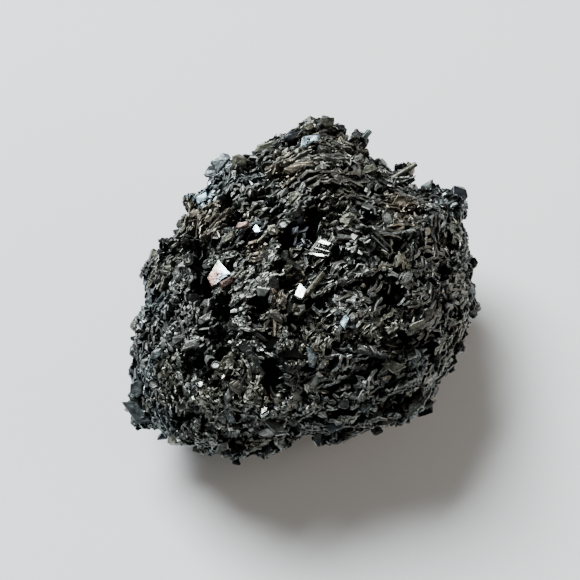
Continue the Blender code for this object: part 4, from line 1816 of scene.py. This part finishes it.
def known_place(surface, crystal):
    """Where a known crystal meets the skin, or its nearest place where the sight misses it."""
    place = on_surface(surface, crystal.across, crystal.up)
    if place is None:
        aim = sight_point(crystal.across, crystal.up)
        place = surface.find_nearest(aim)[0]
        place += (aim - place) - INWARDS * (aim - place).dot(INWARDS)
    return place


def known_colour(colours, film, shine, roughness):
    """Colour of a known crystal's face: the film's, let down with that of a bare face."""
    bare = Vector(film_colour(colours, "graphite", shine, roughness))
    return bare.lerp(film_colour(colours, film, shine, roughness), KNOWN_TINT)


def join_shape(target, shape):
    """Add a finished shape to a growing mesh."""
    part = mesh_from(shape, "known")
    target.from_mesh(part)
    bpy.data.meshes.remove(part)


def add_kite(target, surface, colours):
    """Add the largest glint: a low four-sided peak over a dull brown flank."""
    shape = bmesh.new()
    layer = shape.verts.layers.float_color.new("film")
    face = lit_face(KITE_LIT)
    middle_across = sum(corner[0] for corner in KITE_CORNERS) / len(KITE_CORNERS)
    middle_up = sum(corner[1] for corner in KITE_CORNERS) / len(KITE_CORNERS)
    middle = on_surface(surface, middle_across, middle_up) + face * KITE_RISE
    corners = []
    # Each corner's shine paints light into the face: a painted highlight at the bright corners,
    # and painted shade at the dim ones.
    for across, up, film, shine in KITE_CORNERS:
        place = intersect_line_plane(EYE, sight_point(across, up), middle, face)
        corner = shape.verts.new(place)
        corner[layer] = film_colour(colours, film, shine, MIRROR_ROUGHNESS)
        corners.append(corner)
    top = bmesh.ops.contextual_create(shape, geom=corners)["faces"]
    walls = bmesh.ops.extrude_edge_only(shape, edges=shape.edges[:])["geom"]
    lower = [item for item in walls if isinstance(item, bmesh.types.BMVert)]
    drop = face * -KITE_DEPTH - UPWARDS * KITE_UNDERCUT
    bmesh.ops.translate(shape, vec=drop, verts=lower)
    for corner in lower:
        corner[layer] = film_colour(colours, *KITE_FLANK_FILM, GROWN_ROUGHNESS)
    base = [edge for edge in shape.edges if all(corner in lower for corner in edge.verts)]
    bmesh.ops.contextual_create(shape, geom=base)
    peak = bmesh.ops.poke(shape, faces=top, offset=KITE_PEAK)["verts"]
    bmesh.ops.translate(shape, vec=ACROSS * KITE_PEAK_SHIFT, verts=peak)
    peak[0][layer] = film_colour(colours, *KITE_PEAK_FILM, MIRROR_ROUGHNESS)
    bmesh.ops.recalc_face_normals(shape, faces=shape.faces)
    join_shape(target, shape)


def add_crystal(target, name, sizes, place, face, along, colour, chance):
    """Add one large crystal, in mm, whose upper face has its middle at a place."""
    shape = known_shape(name, chance)
    bmesh.ops.scale(shape, vec=sizes, verts=shape.verts)
    for corner in shape.verts:
        corner.co += Vector(chance.normal(0.0, CORNER_NUDGE, 3)) * sizes[1]
    chamfer(shape, shape.edges, KNOWN_CHAMFER, clamped=True)
    bmesh.ops.recalc_face_normals(shape, faces=shape.faces)
    along = (along - face * along.dot(face)).normalized()
    turned = Matrix((along, face.cross(along), face)).transposed().to_4x4()
    middle = place - face * (0.5 * sizes[2])
    bmesh.ops.transform(shape, matrix=Matrix.Translation(middle) @ turned, verts=shape.verts)
    layer = shape.verts.layers.float_color.new("film")
    for corner in shape.verts:
        corner[layer] = colour
        corner.co.z = max(corner.co.z, 0.0)
    join_shape(target, shape)


def add_known_crystals(target, surface, colours, chance):
    """Add the crystals that are known one by one."""
    for crystal in KNOWN_CRYSTALS:
        face = lit_face(crystal.lit)
        place = known_place(surface, crystal)
        rise = GLINT_RISE if crystal.lit > GLINTING else KNOWN_RISE
        rise += max(0.0, float(swell_heights(np.array([place]))[0]))
        turn = math.radians(crystal.turn)
        roughness = MIRROR_ROUGHNESS if crystal.lit > MIRRORING else GROWN_ROUGHNESS
        add_crystal(
            target,
            crystal.shape,
            (crystal.length * KNOWN_SIZE, crystal.width * KNOWN_SIZE, crystal.thickness),
            place + face * rise,
            face,
            ACROSS * math.cos(turn) + UPWARDS * math.sin(turn),
            # The listed shine is partly painted light: a painted highlight on the crystals that
            # glint.
            known_colour(colours, crystal.film, crystal.shine * KNOWN_SHINE, roughness),
            chance,
        )


def add_crystals_out_of_sight(target, lump, colours, chance):
    """Add large crystals of the same kinds on the sides that no known crystal is on."""
    names = list(KNOWN_SHAPES)
    samples = samples_out_of_sight(lump.skin, CRYSTALS_OUT_OF_SIGHT, chance)
    heights = ground(lump, *as_arrays(samples))[2]
    for height, (place, outward) in zip(heights, samples):
        name = names[chance.integers(len(names))]
        length = chance.uniform(*LENGTHS_OUT_OF_SIGHT)
        width = length * (ROD_WIDTH if name == "rod" else chance.uniform(*WIDTHS_OUT_OF_SIGHT))
        face = (outward + Vector(chance.normal(0.0, TILT_OUT_OF_SIGHT, 3))).normalized()
        polished = chance.uniform() < POLISHED_SHARE
        add_crystal(
            target,
            name,
            (length, width, chance.uniform(*THICKNESSES_OUT_OF_SIGHT)),
            place + face * (height - RIDGE_INSET + chance.uniform(*RISES_OUT_OF_SIGHT)),
            face,
            face.orthogonal().lerp(Vector(chance.normal(0.0, 1.0, 3)), 0.5),
            known_colour(
                colours,
                FILMS_OUT_OF_SIGHT[chance.integers(len(FILMS_OUT_OF_SIGHT))],
                chance.uniform(*SHINES_OUT_OF_SIGHT),
                MIRROR_ROUGHNESS if polished else GROWN_ROUGHNESS,
            ),
            chance,
        )


def make_known_crystals(lump, colours, material):
    """The large crystals, as one piece."""
    shape = bmesh.new()
    shape.verts.layers.float_color.new("film")
    chance = np.random.default_rng(SEED + 5)
    add_known_crystals(shape, lump.surface, colours, chance)
    add_kite(shape, lump.surface, colours)
    add_crystals_out_of_sight(shape, lump, colours, chance)
    bmesh.ops.scale(shape, vec=(MM, MM, MM), verts=shape.verts)
    make_piece("known_crystals", mesh_from(shape, "known_crystals"), material)


# ---------------------------------------------------------------- stage


def make_floor(colours):
    """A plain pale floor."""
    shape = bmesh.new()
    bmesh.ops.create_grid(shape, x_segments=1, y_segments=1, size=FLOOR_REACH)
    mesh = mesh_from(shape, "floor")
    floor = add_object("floor", mesh)
    # Pressed card has no shine, so it shows nothing but the cluster's soft shadow.
    material, _, surface = new_material("matt_card")
    set_inputs(surface, {"Base Color": (*colours.floor, 1.0), "Roughness": FLOOR_ROUGHNESS})
    mesh.materials.append(material)


def make_lights():
    """A cool window light from the back left, a weak warm fill and a pale room."""
    for name, place, side, watts, hex_colour in LIGHTS:
        light = bpy.data.lights.new(name, "AREA")
        light.shape = "SQUARE"
        light.size = side
        light.energy = watts
        light.color = linear_colour(hex_colour)
        lamp = add_object(name, light)
        lamp.location = place
        lamp.rotation_euler = (LIGHT_TARGET - place).to_track_quat("-Z", "Y").to_euler()
    world = bpy.data.worlds.new("pale_room")
    world.use_nodes = True
    set_inputs(
        world.node_tree.nodes["Background"],
        {"Color": (*linear_colour(ROOM_COLOUR), 1.0), "Strength": ROOM_STRENGTH},
    )
    bpy.context.scene.world = world


def make_camera():
    """A camera on the line of sight, with the cluster a little right of the middle."""
    lens = bpy.data.cameras.new("camera")
    lens.sensor_width = SENSOR
    lens.lens = SENSOR * SIGHT_DISTANCE / FRAME_WIDTH
    lens.clip_start = NEAREST_SEEN
    camera = add_object("camera", lens)
    camera.location = EYE * MM
    camera.rotation_euler = INWARDS.to_track_quat("-Z", "Y").to_euler()
    bpy.context.scene.camera = camera


# ---------------------------------------------------------------- operators


def settings_of(context):
    """The sizes and the colours that the user has set."""
    return context.scene.cluster_shape, context.scene.cluster_colours


class CLUSTER_OT_crust(bpy.types.Operator):
    """Make the crust of plates grown together"""

    bl_idname = "cluster.crust"
    bl_label = "Make crust"

    def execute(self, context):
        settings, colours = settings_of(context)
        make_crust(lump_for(settings.bundle_step / MM), colours)
        return {"FINISHED"}


class CLUSTER_OT_ridges(bpy.types.Operator):
    """Make the plates that stand on edge side by side"""

    bl_idname = "cluster.ridges"
    bl_label = "Grow ridges"

    def execute(self, context):
        settings, colours = settings_of(context)
        sectors = scatter_ridges(lump_for(settings.bundle_step / MM), colours)
        kinds = collect_kinds("ridge", ridge_kinds())
        grow_on_all_sides(kinds, sectors, "ridges", ridge_material())
        return {"FINISHED"}


class CLUSTER_OT_crystals(bpy.types.Operator):
    """Make every small crystal on the crust"""

    bl_idname = "cluster.crystals"
    bl_label = "Grow crystals"

    def execute(self, context):
        settings, colours = settings_of(context)
        sectors = scatter_crystals(lump_for(settings.bundle_step / MM), settings, colours)
        kinds = collect_kinds("crystal", crystal_kinds(settings))
        grow_on_all_sides(kinds, sectors, "crystals", crystal_material())
        return {"FINISHED"}


class CLUSTER_OT_known_crystals(bpy.types.Operator):
    """Make the crystals that are known one by one"""

    bl_idname = "cluster.known_crystals"
    bl_label = "Place known crystals"

    def execute(self, context):
        settings, colours = settings_of(context)
        lump = lump_for(settings.bundle_step / MM)
        make_known_crystals(lump, colours, crystal_material())
        return {"FINISHED"}


class CLUSTER_OT_stage(bpy.types.Operator):
    """Make the floor, the lights and the camera"""

    bl_idname = "cluster.stage"
    bl_label = "Set the stage"

    def execute(self, context):
        _, colours = settings_of(context)
        make_floor(colours)
        make_lights()
        make_camera()
        return {"FINISHED"}


OPERATORS = (
    CLUSTER_OT_crust,
    CLUSTER_OT_ridges,
    CLUSTER_OT_crystals,
    CLUSTER_OT_known_crystals,
    CLUSTER_OT_stage,
)


class CLUSTER_PT_panel(bpy.types.Panel):
    """Lists the steps that make the cluster"""

    bl_idname = "CLUSTER_PT_panel"
    bl_label = "Crystal Cluster"
    bl_space_type = "VIEW_3D"
    bl_region_type = "UI"
    bl_category = "Crystal Cluster"

    def draw(self, context):
        layout = self.layout
        for group in settings_of(context):
            box = layout.box()
            for name in group.bl_rna.properties.keys():
                if name not in ("rna_type", "name"):
                    box.prop(group, name)
        for operator in OPERATORS:
            layout.operator(operator.bl_idname)


CLASSES = (ClusterShape, ClusterColours, *OPERATORS, CLUSTER_PT_panel)


def register():
    """Make the classes and the scene's settings known to Blender."""
    for item in CLASSES:
        bpy.utils.register_class(item)
    bpy.types.Scene.cluster_shape = bpy.props.PointerProperty(type=ClusterShape)
    bpy.types.Scene.cluster_colours = bpy.props.PointerProperty(type=ClusterColours)


def unregister():
    """Take the scene's settings and the classes away again."""
    del bpy.types.Scene.cluster_colours
    del bpy.types.Scene.cluster_shape
    for item in reversed(CLASSES):
        bpy.utils.unregister_class(item)


def main():
    """Make every piece and the stage."""
    register()
    bpy.ops.cluster.crust()
    bpy.ops.cluster.ridges()
    bpy.ops.cluster.crystals()
    bpy.ops.cluster.known_crystals()
    bpy.ops.cluster.stage()


if __name__ == "__main__":
    main()
